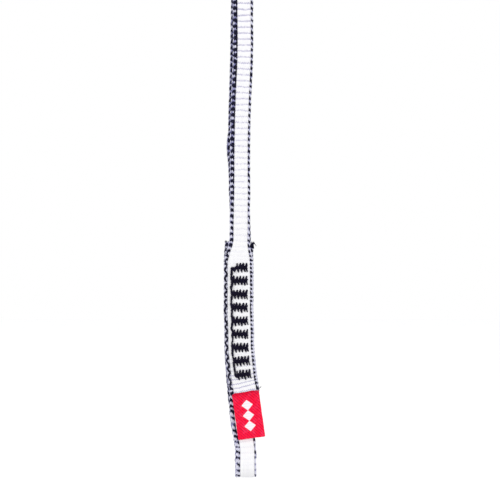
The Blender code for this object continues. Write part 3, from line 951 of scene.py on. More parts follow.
@dataclass(frozen=True)
class Finish:
    """What every finish of the sling has: how rough, how raised and how shiny it is."""

    name: str
    roughness: float
    rougher: float
    bump: float
    relief: float
    specular: float
    sheen: float = 0.0
    sheen_roughness: float = 0.5

    def paint(self, graph: Graph) -> tuple[Socket, Socket, Socket]:
        """Gives the colour, the roughness and the fine relief, each finish in its own way."""
        raise NotImplementedError

    def material(self) -> bpy.types.Material:
        """Builds the material.

        Returns:
            The material.
        """
        material, graph, principled = shader(self.name)
        colour, roughness, height = self.paint(graph)
        bump = graph.node("Bump", {"Strength": self.bump, "Distance": self.relief, "Height": height})
        inputs = {
            "Base Color": colour, "Roughness": roughness, "Normal": bump.outputs[0],
            "Specular IOR Level": self.specular, "Sheen Weight": self.sheen,
            "Sheen Roughness": self.sheen_roughness,
        }
        graph.feed(principled, inputs)
        return material


@dataclass(frozen=True)
class YarnFinish(Finish):
    """What the finishes of twisted yarn share: its strands, and a roughness that follows its hairs."""

    strands: float = 2.0

    def twisted(self, graph: Graph) -> tuple[Socket, Socket, Socket]:
        """Twists the yarn.

        Args:
            graph: The material's graph.

        Returns:
            The hairs, the ridges and the roughness.
        """
        along, turn = graph.uv()
        twist = graph.group("YarnTwist", Along=along, Round=turn, Strands=self.strands, Seed=graph.tint())
        wear_and_highlight = self.roughness, self.roughness + self.rougher
        return twist["Hair"], twist["Ridge"], graph.step(twist["Hair"], (0.0, 1.0), wear_and_highlight)


@dataclass(frozen=True)
class WebFinish(Finish):
    """White filament webbing with lilac shade painted into its grooves."""

    name: str = "white_webbing"
    roughness: float = 0.62
    rougher: float = 0.1
    bump: float = 0.35
    relief: float = 0.00012
    specular: float = 0.35
    sheen: float = 0.15
    white: Colour = (0.945, 0.943, 0.952)
    # The lilac colour of the shade painted into the grooves.
    shade: Colour = (0.5, 0.48, 0.64)
    zigzag: float = 0.18
    groove: float = 0.19
    # Painted shade: patches of noise over which the grooves' painted shade goes from its least to its
    # most.
    patches: Grain = Grain(0.4, 2.0, 1.4)
    patch_range: Range = (0.34, 0.64)
    patch_shade: Range = (0.4, 1.6)
    tones: Grain = Grain(1.3, 0.25, 1.0, 3.0)
    tone_range: Range = (0.3, 0.75)
    tone_shade: float = 0.12
    wear_range: Range = (0.2, 0.8)
    smoother: float = 0.08

    def paint(self, graph: Graph) -> tuple[Socket, Socket, Socket]:
        """Paints lilac shade into the grooves of the weave, more in some patches than in others.

        Args:
            graph: The material's graph.

        Returns:
            The colour, the roughness and the fine relief.
        """
        yarn, rib = graph.uv()
        weave = graph.group("RibbedWeave", Yarn=yarn, Rib=rib, Zigzag=self.zigzag, Groove=self.groove)
        patch = graph.grained(yarn, rib, self.patches)
        # Painted shade: the grooves' mask, times the tint that carries its depth along the webbing, times
        # the patches.
        shaded = graph.times(weave["Groove"], graph.tint())
        depth = graph.times(shaded, graph.step(patch, self.patch_range, self.patch_shade))
        tone = graph.grained(yarn, rib, self.tones)
        toned = graph.step(tone, self.tone_range, (0.0, self.tone_shade))
        base = graph.mix(toned, self.white, self.shade)
        wear_and_highlight = self.roughness - self.smoother, self.roughness + self.rougher
        roughness = graph.step(tone, self.wear_range, wear_and_highlight)
        return graph.mix(depth, base, self.shade), roughness, weave["Height"]


@dataclass(frozen=True)
class SelvedgeFinish(YarnFinish):
    """Plied selvedge yarn, near black or lavender grey by the tint of each point."""

    name: str = "grey_selvedge_yarn"
    roughness: float = 0.55
    rougher: float = 0.15
    bump: float = 0.6
    relief: float = 0.00006
    specular: float = 0.06
    dark: Colour = (0.0045, 0.004, 0.016)
    grey: Colour = (0.3, 0.3, 0.56)
    # The colour of the highlight painted on a grey yarn where it lies raised.
    pale: Colour = (0.87, 0.87, 0.99)
    strands: float = 3.0
    # Painted highlight: the tints over which a grey yarn is painted pale where it lies raised on a face,
    # its least strength and how much its hairs add.
    crown: Range = (0.55, 0.95)
    crown_least: float = 0.8
    crown_hairs: float = 0.25
    # Painted glint: how far the dark yarn's hairs are painted towards grey.
    dark_hairs: float = 0.05
    # Painted shade: how much darker a yarn is painted in the grooves of its twist.
    ridges: float = 0.25
    choice: Range = (0.2, 0.35)

    def paint(self, graph: Graph) -> tuple[Socket, Socket, Socket]:
        """Colours the dark yarns, and the grey ones with a pale highlight painted where they lie raised
        on a face, uneven by their hairs.

        Args:
            graph: The material's graph.

        Returns:
            The colour, the roughness and the fine relief.
        """
        tint = graph.tint()
        hair, ridge, roughness = self.twisted(graph)
        # Painted highlight on the grey yarns where they lie raised, stronger where the hairs are.
        wear_and_highlight = graph.math("MULTIPLY_ADD", hair, self.crown_hairs, self.crown_least)
        grey = graph.mix(graph.times(graph.step(tint, self.crown), wear_and_highlight), self.grey, self.pale)
        # The dark yarn with a painted grey glint on its hairs.
        dark = graph.mix(graph.times(hair, self.dark_hairs), self.dark, self.grey)
        # Painted shade in the grooves of the twist.
        lit = graph.math("MULTIPLY_ADD", ridge, self.ridges, 1.0 - self.ridges)
        twisted = graph.mix(lit, self.dark, grey)
        return graph.mix(graph.step(tint, self.choice), dark, twisted), roughness, ridge


@dataclass(frozen=True)
class ThreadFinish(YarnFinish):
    """Black sewing thread with a faint purple highlight painted on its twist."""

    name: str = "black_tack_thread"
    roughness: float = 0.5
    rougher: float = 0.2
    bump: float = 0.7
    relief: float = 0.00005
    specular: float = 0.1
    black: Colour = (0.002, 0.0012, 0.008)
    # The purple of the highlight painted on the thread's twist.
    gleam: Colour = (0.02, 0.014, 0.048)

    def paint(self, graph: Graph) -> tuple[Socket, Socket, Socket]:
        """Paints a faint purple highlight on the hairs on the ridges.

        Args:
            graph: The material's graph.

        Returns:
            The colour, the roughness and the fine relief.
        """
        hair, ridge, roughness = self.twisted(graph)
        # Painted highlight on the hairs of the ridges.
        return graph.mix(graph.times(hair, ridge), self.black, self.gleam), roughness, ridge


@dataclass(frozen=True)
class LabelFinish(Finish):
    """Red twill tape with a column of plain white lozenges woven in."""

    name: str = "red_label_twill"
    roughness: float = 0.6
    rougher: float = 0.12
    bump: float = 0.5
    relief: float = 0.00006
    specular: float = 0.08
    red: Colour = (1.0, 0.006, 0.048)
    pink: Colour = (0.97, 0.03, 0.1)
    # The deep red of the shade painted into the twill's grooves.
    deep: Colour = (0.22, 0.003, 0.03)
    white: Colour = (0.94, 0.9, 0.95)
    twill: float = 1.25
    slant: float = -0.9
    pick: float = 0.8
    ribs: Range = (0.1, 0.75)
    # Painted shade: the spots where the twill's grooves are painted deep red, and how strongly.
    spots: Grain = Grain(0.8, 2.2, 1.6)
    spot_range: Range = (0.35, 0.55)
    groove: float = 0.6
    wear: Grain = Grain(1.0, 1.0, 0.55)
    wear_range: Range = (0.45, 0.7)
    satin: float = 0.06
    choice: Range = (0.4, 0.6)
    rough_range: Range = (0.2, 0.8)
    smoother: float = 0.08
    weft_relief: float = 0.3

    def paint(self, graph: Graph) -> tuple[Socket, Socket, Socket]:
        """Colours the twill, whose ribs are the sine of the way across plus the slanted way down, with
        deep red shade painted into its grooves in spots.

        Args:
            graph: The material's graph.

        Returns:
            The colour, the roughness and the fine relief.
        """
        across, down = graph.uv()
        slanted = graph.math("ADD", across, graph.times(down, self.slant))
        slope = graph.math("DIVIDE", slanted, self.twill)
        rib = graph.math("ABSOLUTE", graph.math("SINE", graph.times(slope, math.pi)))
        pick = graph.math("SINE", graph.times(down, 2.0 * math.pi / (self.twill * self.pick)))
        spot = graph.grained(slope, down, self.spots)
        # Painted shade in the twill's grooves, in spots.
        groove = graph.times(graph.step(rib, self.ribs, (1.0, 0.0)), graph.step(spot, self.spot_range))
        wear_and_highlight = graph.grained(across, down, self.wear)
        face = graph.mix(graph.step(wear_and_highlight, self.wear_range), self.red, self.pink)
        red = graph.mix(graph.times(groove, self.groove), face, self.deep)
        satin = graph.math("MULTIPLY_ADD", pick, self.satin, 1.0 - self.satin)
        white = graph.mix(graph.math("SUBTRACT", 1.0, satin), self.white, self.red)
        colour = graph.mix(graph.step(graph.tint(), self.choice), red, white)
        rough = self.roughness - self.smoother, self.roughness + self.rougher
        height = graph.math("ADD", rib, graph.times(pick, self.weft_relief))
        return colour, graph.step(spot, self.rough_range, rough), height


@dataclass(frozen=True)
class Finishes:
    """The sling's four finishes, made once."""

    web: bpy.types.Material
    selvedge: bpy.types.Material
    thread: bpy.types.Material
    label: bpy.types.Material

    @classmethod
    def make(cls) -> "Finishes":
        """Builds the shared groups and the four materials.

        Returns:
            The finishes.
        """
        YarnTwist().build()
        RibbedWeave().build()
        finishes = WebFinish(), SelvedgeFinish(), ThreadFinish(), LabelFinish()
        return cls(*(finish.material() for finish in finishes))


@dataclass(frozen=True)
class Bend:
    """A place where the sling bends."""

    above: str
    below: str
    height: float
    reach: float

    def apply(self, piece: bpy.types.Object) -> None:
        """Bakes the piece's place into its mesh."""
        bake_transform(piece)


@dataclass(frozen=True)
class Cut:
    """A trimmed end of the webbing.

    Attributes:
        slant: How far it runs along the webbing for its way across.
        waver: How far it wavers.
        pitch: The length over which it wavers.
        short: How much shorter it is than the solid one.
        reach: The length over which the webbing moves with it.
        seed: The seed of its wavering.
    """

    slant: float = 0.0
    waver: float = 0.00018
    pitch: float = 0.0009
    short: float = 0.0
    reach: float = 0.006
    seed: int = 1

    def moves(self, lateral: Array, onward: float) -> Array:
        """How far the end lies along the course at each way across.

        Args:
            lateral: The way across.
            onward: 1 where the course ends, -1 where it starts.

        Returns:
            The slant times the way across, plus the waver, less the short part.
        """
        wavering = self.waver * wander(lateral, self.pitch, self.seed)
        return self.slant * lateral + wavering - onward * self.short


@dataclass(frozen=True)
class Column:
    """A pair of a dark and a grey yarn that turn round each other, side by side with the other pairs.

    Attributes:
        inset: How far the pair's middle lies inside the web's edge.
        radius: The yarns' radius.
        free: How far the dark yarn covers the grey one on the free web's outer face, from -1 to 1.
        pressed: The same where the web is pressed.
        lag: How far the pair's turn lags, in ribs.
    """

    inset: float
    radius: float
    free: float
    pressed: float
    lag: float = 0.0


@dataclass(frozen=True)
class Edge:
    """A selvedge: its columns from the outside in, their swing, and a dark yarn over its pressed part.

    Attributes:
        side: The web's edge that it is on.
        seed: The seed of its unevenness.
        columns: The pairs of yarns.
        bare: How much of the web's width the selvedge takes.
        spread: How much wider it is where it is pressed, as a share.
        wide: How far the yarns swing across.
        deep: How far they swing out of the web.
        flat: How thick a yarn is, as a share of its width.
        uneven: How much the covers waver.
        cover_pitch: The length over which they waver.
        zigzag: How far the dark yarn goes across the pressed part to each side, or 0 for none.
        fade: The change of the covers over the length, from its start to its end.
        widen: The share of its width over the length.
    """

    side: Side
    seed: int
    columns: tuple[Column, ...]
    bare: float
    spread: float = 0.0
    wide: float = 0.00009
    deep: float = 0.0005
    flat: float = 1.3
    uneven: float = 0.55
    cover_pitch: float = 0.0016
    zigzag: float = 0.0
    fade: Pairs = ((0.0, 0.0), (1.0, 0.0))
    widen: Pairs = ((0.0, 1.0), (1.0, 1.0))

    def scale(self, part: Course) -> Array:
        """How wide the selvedge is at each point, as a share of its free width."""
        return (1.0 + self.spread * part.pressed) * through(self.widen, part.share())

    def across(self, part: Course, inset: float) -> Array:
        """The way across of a line that lies inside the web's edge by an inset."""
        return self.side.value * (part.width / 2 - inset * self.scale(part))


LEFT_EDGE = Edge(
    side=Side.LEFT, seed=11,
    columns=(
        Column(0.00016, 0.00017, -0.5, -1.4, 0.0),
        Column(0.00058, 0.00028, 0.6, -0.9, 0.06),
        Column(0.00102, 0.00030, 0.5, -0.8, 0.0),
        Column(0.00146, 0.00029, 0.85, -0.8, 0.14),
    ),
    bare=0.0017, spread=-0.26, zigzag=0.00046,
)
RIGHT_EDGE = Edge(
    side=Side.RIGHT, seed=41,
    columns=(
        Column(0.00020, 0.00021, -0.2, -1.2, 0.25),
        Column(0.00046, 0.00022, 0.3, -0.15, 0.1),
        Column(0.00072, 0.00022, 0.15, 0.35, 0.0),
    ),
    bare=0.00075, spread=0.55, uneven=0.75,
)
FRONT_LEFT_EDGE = replace(
    LEFT_EDGE,
    fade=(
        (0.0, 0.0), (0.42, 0.0), (0.46, 0.0), (0.5, -0.6), (0.58, -0.5),
        (0.7, -0.2), (0.85, 0.0), (1.0, 0.0),
    ),
    widen=(
        (0.0, 1.0), (0.42, 1.0), (0.46, 1.0), (0.5, 0.82), (0.58, 0.84),
        (0.7, 0.95), (0.85, 1.0), (1.0, 1.0),
    ),
)
FRONT_RIGHT_EDGE = replace(
    RIGHT_EDGE,
    fade=(
        (0.0, 0.0), (0.42, 0.0), (0.46, 0.0), (0.5, -0.3), (0.58, -0.25),
        (0.7, -0.1), (0.85, 0.0), (1.0, 0.0),
    ),
)
LOW_LEFT_EDGE = replace(
    LEFT_EDGE,
    columns=(
        Column(0.00018, 0.00019, -1.0, -1.3, 0.3),
        Column(0.00058, 0.00027, 0.1, -1.0, 0.0),
        Column(0.00102, 0.00030, 0.15, -0.9, 0.1),
        Column(0.00146, 0.00029, 0.25, -0.9, 0.25),
    ),
    uneven=0.75, zigzag=0.0,
    fade=(
        (0.0, 0.3), (0.3, 0.2), (0.41, -0.4), (0.52, -0.35), (0.58, 0.0),
        (0.95, 0.2), (0.98, 0.5), (1.0, 0.5),
    ),
    widen=(
        (0.0, 1.0), (0.34, 1.0), (0.42, 1.12), (0.52, 1.12), (0.6, 1.0),
        (0.8, 1.0), (1.0, 1.0),
    ),
)
LOW_RIGHT_EDGE = replace(
    RIGHT_EDGE,
    columns=(
        Column(0.00020, 0.00021, -0.4, -1.2, 0.25),
        Column(0.00046, 0.00022, 0.1, -0.3, 0.1),
        Column(0.00072, 0.00021, 0.1, 0.15, 0.0),
    ),
    uneven=1.9,
    fade=(
        (0.0, 0.0), (0.3, -0.2), (0.4, -0.3), (0.55, -0.15), (0.6, 0.0),
        (0.96, 0.2), (0.975, 0.8), (1.0, 1.2),
    ),
    widen=(
        (0.0, 1.0), (0.3, 1.0), (0.4, 0.75), (0.53, 0.78), (0.6, 1.0),
        (0.95, 1.2), (1.0, 1.35),
    ),
)


@dataclass(frozen=True)
class ZigzagYarn:
    """The dark yarn that goes to and fro over the pressed part of a selvedge."""

    start: float = 0.02
    ribs: float = 2.0
    sharpness: float = 0.96
    lift: float = 0.0003
    dive_start: float = 0.5
    dive_share: float = 0.4
    dive: float = 0.9
    thickness: float = 1.4
    drift: Waver = Waver(0.05, 0.0019, 91)
    sidestep: Waver = Waver(0.00006, 0.001, 92)
    dive_waver: Waver = Waver(0.2, 0.0017, 93)
    swelling: Waver = Waver(0.25, 0.0007, 94)


@dataclass
class WovenLength:
    """One length of webbing: the ribbed white web and a plied selvedge along each edge.

    It runs from one distance along the course to another, and may be trimmed at a cut end.
    """

    name: str
    course: Course
    begin: float
    end: float
    bend: Bend
    replaced: tuple[str, ...]
    start_cut: Cut | None = None
    end_cut: Cut | None = None
    left_edge: Edge = LEFT_EDGE
    right_edge: Edge = RIGHT_EDGE
    zigzag_yarn: ZigzagYarn = ZigzagYarn()
    face_columns: int = 26
    crowding: float = 0.35
    edge_power: float = 10.0
    rib_relief: float = 0.00013
    groove: float = 0.13
    relief_power: int = 6
    zigzag: float = 0.1
    rib_waver: Waver = Waver(0.08, 0.0017, 7)
    yarn_pitch: float = 0.0004
    web_step: int = 2
    selvedge_step: int = 2
    free_thickness: float = 0.002
    core_sides: int = 10
    core_overlap: float = 0.5
    core_tint: float = 0.5
    ply_sides: int = 6
    yarn_turn: float = 0.0009
    held: float = 1.1
    cover_seed: int = 20
    column_seeds: int = 10
    drift: Waver = Waver(0.06, 0.0031, 1)
    own_drift: Waver = Waver(0.05, 0.0014, 1)
    sidestep: Waver = Waver(0.00008, 0.0013, 2)
    face_swell: float = 0.14
    swelling: Waver = Waver(0.16, 0.0008, 5)

    def trimmed(self, part: Course, lateral: Array) -> Array:
        """How far points move along the course because an end is trimmed at a slant.

        The cut's own moves fade over its reach.

        Args:
            part: The part of the course.
            lateral: The way across, as rows by columns.

        Returns:
            The moves, as rows by columns.
        """
        moves = np.zeros(np.broadcast_shapes((len(part.way), 1), lateral.shape))
        for cut, anchor, onward in ((self.start_cut, self.begin, -1.0), (self.end_cut, self.end, 1.0)):
            if cut is not None:
                fade = eased(1.0 - np.abs(part.way - anchor) / cut.reach)[:, None]
                moves = moves + fade * cut.moves(lateral, onward)
        return moves

    def section(self) -> tuple[Array, Array]:
        """The web's section: x is the cosine of an angle drawn towards even steps, and y the height of a
        superellipse over it, in shares of the half width and half thickness.

        Returns:
            The shares across and outward, round the section.
        """
        angle = np.linspace(0.0, math.pi, self.face_columns + 1)
        even = np.linspace(1.0, -1.0, self.face_columns + 1)
        x = self.crowding * np.cos(angle) + (1.0 - self.crowding) * even
        y = np.sqrt(np.clip(1.0 - np.abs(x) ** self.edge_power, 0.0, 1.0))
        return np.concatenate([x, x[::-1][1:-1]]), np.concatenate([y, -y[::-1][1:-1]])

    def web(self, material: bpy.types.Material) -> bpy.types.Object:
        """The ribbed web: the section carried along the course, raised by a pillow between the grooves.

        The pillow is one less a narrow bell round each groove, and the grooves zigzag across the web.

        Args:
            material: The web's finish.

        Returns:
            The piece.
        """
        part = self.course.part(self.begin, self.end, self.web_step)
        x, y = self.section()
        left = -part.width / 2 + self.left_edge.bare * self.left_edge.scale(part)
        right = part.width / 2 - self.right_edge.bare * self.right_edge.scale(part)
        middle, half = ((left + right) / 2)[:, None], ((right - left) / 2)[:, None]
        lateral = middle + half * x
        shift = self.zigzag * np.abs((lateral / self.yarn_pitch) % 2.0 - 1.0)
        phase = (part.ribs[:, None] + shift + self.rib_waver.at(lateral + part.way[:, None])) % 1.0
        bell = np.exp(-((np.minimum(phase, 1.0 - phase) / self.groove) ** 2))
        relief = -self.rib_relief * bell * (1.0 - x**self.relief_power) * np.sign(y)
        outward = part.thickness[:, None] / 2 * y + relief
        points = part.points[:, None] + lateral[..., None] * part.across[:, None]
        points = points + outward[..., None] * part.outward[:, None]
        points = points + self.trimmed(part, lateral)[..., None] * part.along[:, None]
        face, closed = self.face_columns, np.append(x, x[0])
        around = np.concatenate([closed[: face + 1], 2.0 * closed[face] - closed[face + 1 :]])
        columns = around * half / self.yarn_pitch + middle / self.yarn_pitch
        uv = np.stack(np.broadcast_arrays(columns, part.ribs[:, None]), axis=-1)
        stock = MeshStock()
        # The tint carries how much shade is painted into the grooves.
        stock.add_tube(points, uv, part.shade[:, None])
        return stock.build(self.name, material)

    def selvedge(self, edge: Edge, material: bpy.types.Material) -> bpy.types.Object:
        """Pairs of a dark and a grey yarn side by side round a core, which change places once a rib.

        Args:
            edge: The selvedge.
            material: Its finish.

        Returns:
            The piece.
        """
        part = self.course.part(self.begin, self.end, self.selvedge_step)
        stock = MeshStock()
        self.add_core(stock, part, edge)
        for number, column in enumerate(edge.columns):
            self.add_column(stock, part, edge, column, edge.seed + self.column_seeds * number)
        held = part.pressed > self.zigzag_yarn.start
        if edge.zigzag > 0.0 and held.any():
            low, high = part.way[held][[0, -1]]
            self.add_zigzag(stock, self.course.part(low, high, self.selvedge_step), edge)
        return stock.build(f"{self.name}_{edge.side.name.lower()}_selvedge", material)

    def carried(self, part: Course, lateral: Array, depth: Array) -> Array:
        """A line beside the course, moved with the trimmed ends.

        Args:
            part: The part of the course.
            lateral: Its way across.
            depth: Its depth out of the web.

        Returns:
            The line's points.
        """
        moves = self.trimmed(part, lateral[:, None])
        shift = lateral[:, None] * part.across + depth[:, None] * part.outward + moves * part.along
        return part.points + shift

    def add_core(self, stock: MeshStock, part: Course, edge: Edge) -> None:
        """Adds the grey core that fills the selvedge behind its yarns; its grey stands for the inner
        yarns and for painted shade in the gaps between them.

        Args:
            stock: The mesh to add to.
            part: The part of the course.
            edge: The selvedge.
        """
        first, last = edge.columns[0], edge.columns[-1]
        middle = (first.inset + last.inset) / 2
        half = (last.inset - first.inset) / 2 + last.radius * self.core_overlap
        line = self.carried(part, edge.across(part, middle), 0.0 * part.way)
        radius = half * edge.scale(part)
        flat = edge.deep * (part.thickness / self.free_thickness) / radius
        stock.add_yarn(line, part.outward, radius, self.core_sides, self.yarn_turn, self.core_tint, flat)

    def add_column(self, stock: MeshStock, part: Course, edge: Edge, column: Column, seed: int) -> None:
        """Adds a pair of yarns.

        A yarn's line is its column's middle plus a narrow ellipse's sine and cosine at the turn's angle.
        The dark yarn's depth towards the front has the column's cover added to it, so that it hides more
        or less of the grey one, and a yarn swells where it lies on a face.

        Args:
            stock: The mesh to add to.
            part: The part of the course.
            edge: The selvedge.
            column: The pair.
            seed: The seed of the pair's unevenness.
        """
        thin = part.thickness / self.free_thickness
        waver = Waver(edge.uneven, edge.cover_pitch, self.cover_seed)
        cover = column.free + (column.pressed - column.free) * part.pressed
        cover = cover + through(edge.fade, part.share()) + waver.at(part.way, seed)
        cover = cover * -part.outward[:, 1]
        drift = self.drift.at(part.way) + self.own_drift.at(part.way, seed)
        offset = edge.across(part, column.inset) + self.sidestep.at(part.way, seed)
        for number, ply in enumerate(Ply):
            turn = 2.0 * math.pi * (part.ribs + column.lag + drift) + math.pi * number
            raised = np.cos(turn) + (cover if ply is Ply.DARK else -cover)
            raised = np.clip(raised, -self.held, self.held)
            line = self.carried(part, offset + edge.wide * np.sin(turn), edge.deep * thin * raised)
            swell = 1.0 + self.face_swell * np.cos(2.0 * turn)
            swell = swell + self.swelling.at(part.way, seed + number)
            radius = column.radius * swell * np.sqrt(edge.scale(part))
            # The grey yarn's tint rises where it lies raised on a face, which paints the finish's
            # highlight there.
            tint = ply.value * (0.5 + 0.5 * np.clip(np.abs(raised), 0.0, 1.0))
            stock.add_yarn(line, part.outward, radius, self.ply_sides, self.yarn_turn, tint, edge.flat)

    def add_zigzag(self, stock: MeshStock, part: Course, edge: Edge) -> None:
        """Adds the dark yarn that goes to and fro over the pressed part, as a triangle wave does.

        It lies on the outer face and dives into the selvedge at its turns beside the web. Where the
        part is less pressed it lies deeper, until the other yarns hide it.

        Args:
            stock: The mesh to add to.
            part: The part of the course.
            edge: The selvedge.
        """
        yarn, second = self.zigzag_yarn, edge.columns[1]
        phase = part.ribs / yarn.ribs + yarn.drift.at(part.way)
        swing = 2.0 / math.pi * np.arcsin(yarn.sharpness * np.sin(2.0 * math.pi * phase))
        inset = edge.zigzag * swing + yarn.sidestep.at(part.way)
        middle = (second.inset + edge.columns[-1].inset) / 2
        lateral = edge.across(part, middle) - edge.side.value * inset
        dive = eased((swing + yarn.dive_waver.at(part.way) - yarn.dive_start) / yarn.dive_share)
        top = edge.deep * (part.thickness / self.free_thickness) * self.held + yarn.lift
        depth = top * eased(part.pressed) * (1.0 - yarn.dive * dive)
        line = self.carried(part, lateral, depth)
        radius = second.radius * (yarn.thickness + yarn.swelling.at(part.way))
        stock.add_yarn(line, part.outward, radius, self.ply_sides, self.yarn_turn)

    def build(self, finishes: Finishes) -> None:
        """Builds the web and both selvedges and hides the solid nodes that they replace.

        Args:
            finishes: The sling's finishes.
        """
        self.join(self.web(finishes.web), "web")
        for edge in (self.left_edge, self.right_edge):
            zone = f"{edge.side.name.lower()}_selvedge"
            self.join(self.selvedge(edge, finishes.selvedge), zone)

    def join(self, piece: bpy.types.Object, zone: str) -> None:
        """Hides its zone of the solid webbing and bakes the piece's place into its mesh.

        Args:
            piece: The piece.
            zone: The end of the replaced nodes' names.
        """
        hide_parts(*(f"{name}_{zone}" for name in self.replaced))
        self.bend.apply(piece)


@dataclass(frozen=True)
class StitchRow:
    """One zigzag of a bar tack."""

    height: float
    pitch: float
    slant: float
    lift: float
    seed: int


@dataclass
class BarTack:
    """One bar tack: a zigzag of thread with teeth above and below, filled by shorter stitches.

    Its place has X across the web and Z up it, and its stitches lie on the web's face and back.
    """

    number: int
    place: Matrix
    face: float
    back: float
    left_short: float = 0.0
    width: float = 0.00685
    height: float = 0.0035
    teeth: int = 5
    short_share: float = 0.9
    fill_height: float = 0.0014
    fill_pitch: float = 0.0005
    slants: tuple[float, float, float] = (0.0, 0.0002, 0.00008)
    lifts: tuple[float, float, float] = (0.00016, 0.00028, 0.0004)
    row_seeds: tuple[int, int, int] = (1, 3, 2)
    rear_lift: float = 0.7
    crossing: float = 0.00005
    bow: float = 0.0003
    arch: float = 0.35
    sink: float = 0.0004
    sink_power: int = 8
    blunt: float = 0.0003
    uneven_across: float = 0.00006
    uneven_up: float = 0.00014
    seeds_apart: int = 1000
    thread: float = 0.00024
    sides: int = 6
    twist: float = 0.0006
    points: int = 9
    tints: int = 7

    @property
    def reach(self) -> float:
        """The width from the first hole to the last."""
        return self.width - 2.0 * self.thread

    def rows(self) -> tuple[StitchRow, ...]:
        """The zigzags from the web outwards: the filling, the shorter teeth and the longer ones.

        Returns:
            The zigzags.
        """
        heights = self.fill_height, self.height * self.short_share, self.height
        pitches = self.fill_pitch, self.reach / self.teeth, self.reach / self.teeth
        return tuple(map(StitchRow, heights, pitches, self.slants, self.lifts, self.row_seeds))

    def leg(self, start: Array, end: Array, lift: float) -> Array:
        """A stitch's line from hole to hole: bowed to the left, arched off the web, sunk at both ends.

        Args:
            start: The first hole, as x and z in the tack.
            end: The second hole.
            lift: How far the stitch's middle stands off the web.

        Returns:
            The line's points in the tack, as x, depth off the web, z.
        """
        share = np.linspace(0.0, 1.0, self.points)
        outer = 2.0 * share - 1.0
        flat = start + (end - start) * share[:, None]
        flat[:, 0] -= self.bow * (1.0 - outer**2)
        depth = lift * (1.0 - self.arch * outer**2) - self.sink * outer**self.sink_power
        return np.stack([flat[:, 0], depth, flat[:, 1]], axis=1)

    def holes(self, row: StitchRow) -> Array:
        """The holes of a zigzag from left to right, a little uneven.

        Args:
            row: The zigzag.

        Returns:
            The holes, as x and z.
        """
        k = np.arange(round(2.0 * (self.reach - row.slant) / row.pitch) + 1)
        rng = np.random.default_rng(self.seeds_apart * self.number + row.seed)
        x = -self.reach / 2 + k * row.pitch / 2 + row.slant * (k % 2)
        x = np.minimum(x, self.reach / 2 - self.blunt) + rng.normal(0.0, self.uneven_across, len(k))
        z = np.where(k % 2 == 1, row.height / 2, -row.height / 2)
        z = z + rng.normal(0.0, self.uneven_up, len(k))
        holes = np.stack([x, z], axis=1)
        return holes[x >= -self.width / 2 + self.left_short]

    def stitches(self, stock: MeshStock, holes: Array, lift: float, outward: float, depth: float) -> None:
        """Adds a stitch between each hole and the next.

        Args:
            stock: The mesh to add to.
            holes: The holes, in order.
            lift: How far the stitches stand off the web.
            outward: -1 on the front face, 1 on the rear one.
            depth: The face's depth.
        """
        turn = np.array(self.place)
        for k, (start, end) in enumerate(zip(holes, holes[1:])):
            line = self.leg(start, end, lift + self.crossing * (k % 2))
            line[:, 1] = depth + outward * line[:, 1]
            line = line @ turn[:3, :3].T + turn[:3, 3]
            level = unit(np.cross(line[-1] - line[0], np.array([0.0, 1.0, 0.0])))
            stock.add_yarn(line, level, self.thread, self.sides, self.twist, k % self.tints / self.tints)

    def build(self, finishes: Finishes) -> None:
        """Builds the tack's front and rear stitches as one piece.

        Args:
            finishes: The sling's finishes.
        """
        stock = MeshStock()
        for outward, depth, share in ((-1.0, self.face, 1.0), (1.0, self.back, self.rear_lift)):
            for row in self.rows():
                self.stitches(stock, self.holes(row), row.lift * share, outward, depth)
        piece = stock.build(f"bar_tack_stitches_{self.number}", finishes.thread)
        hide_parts(f"bar_tack_{self.number}")
        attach(piece, "seam")


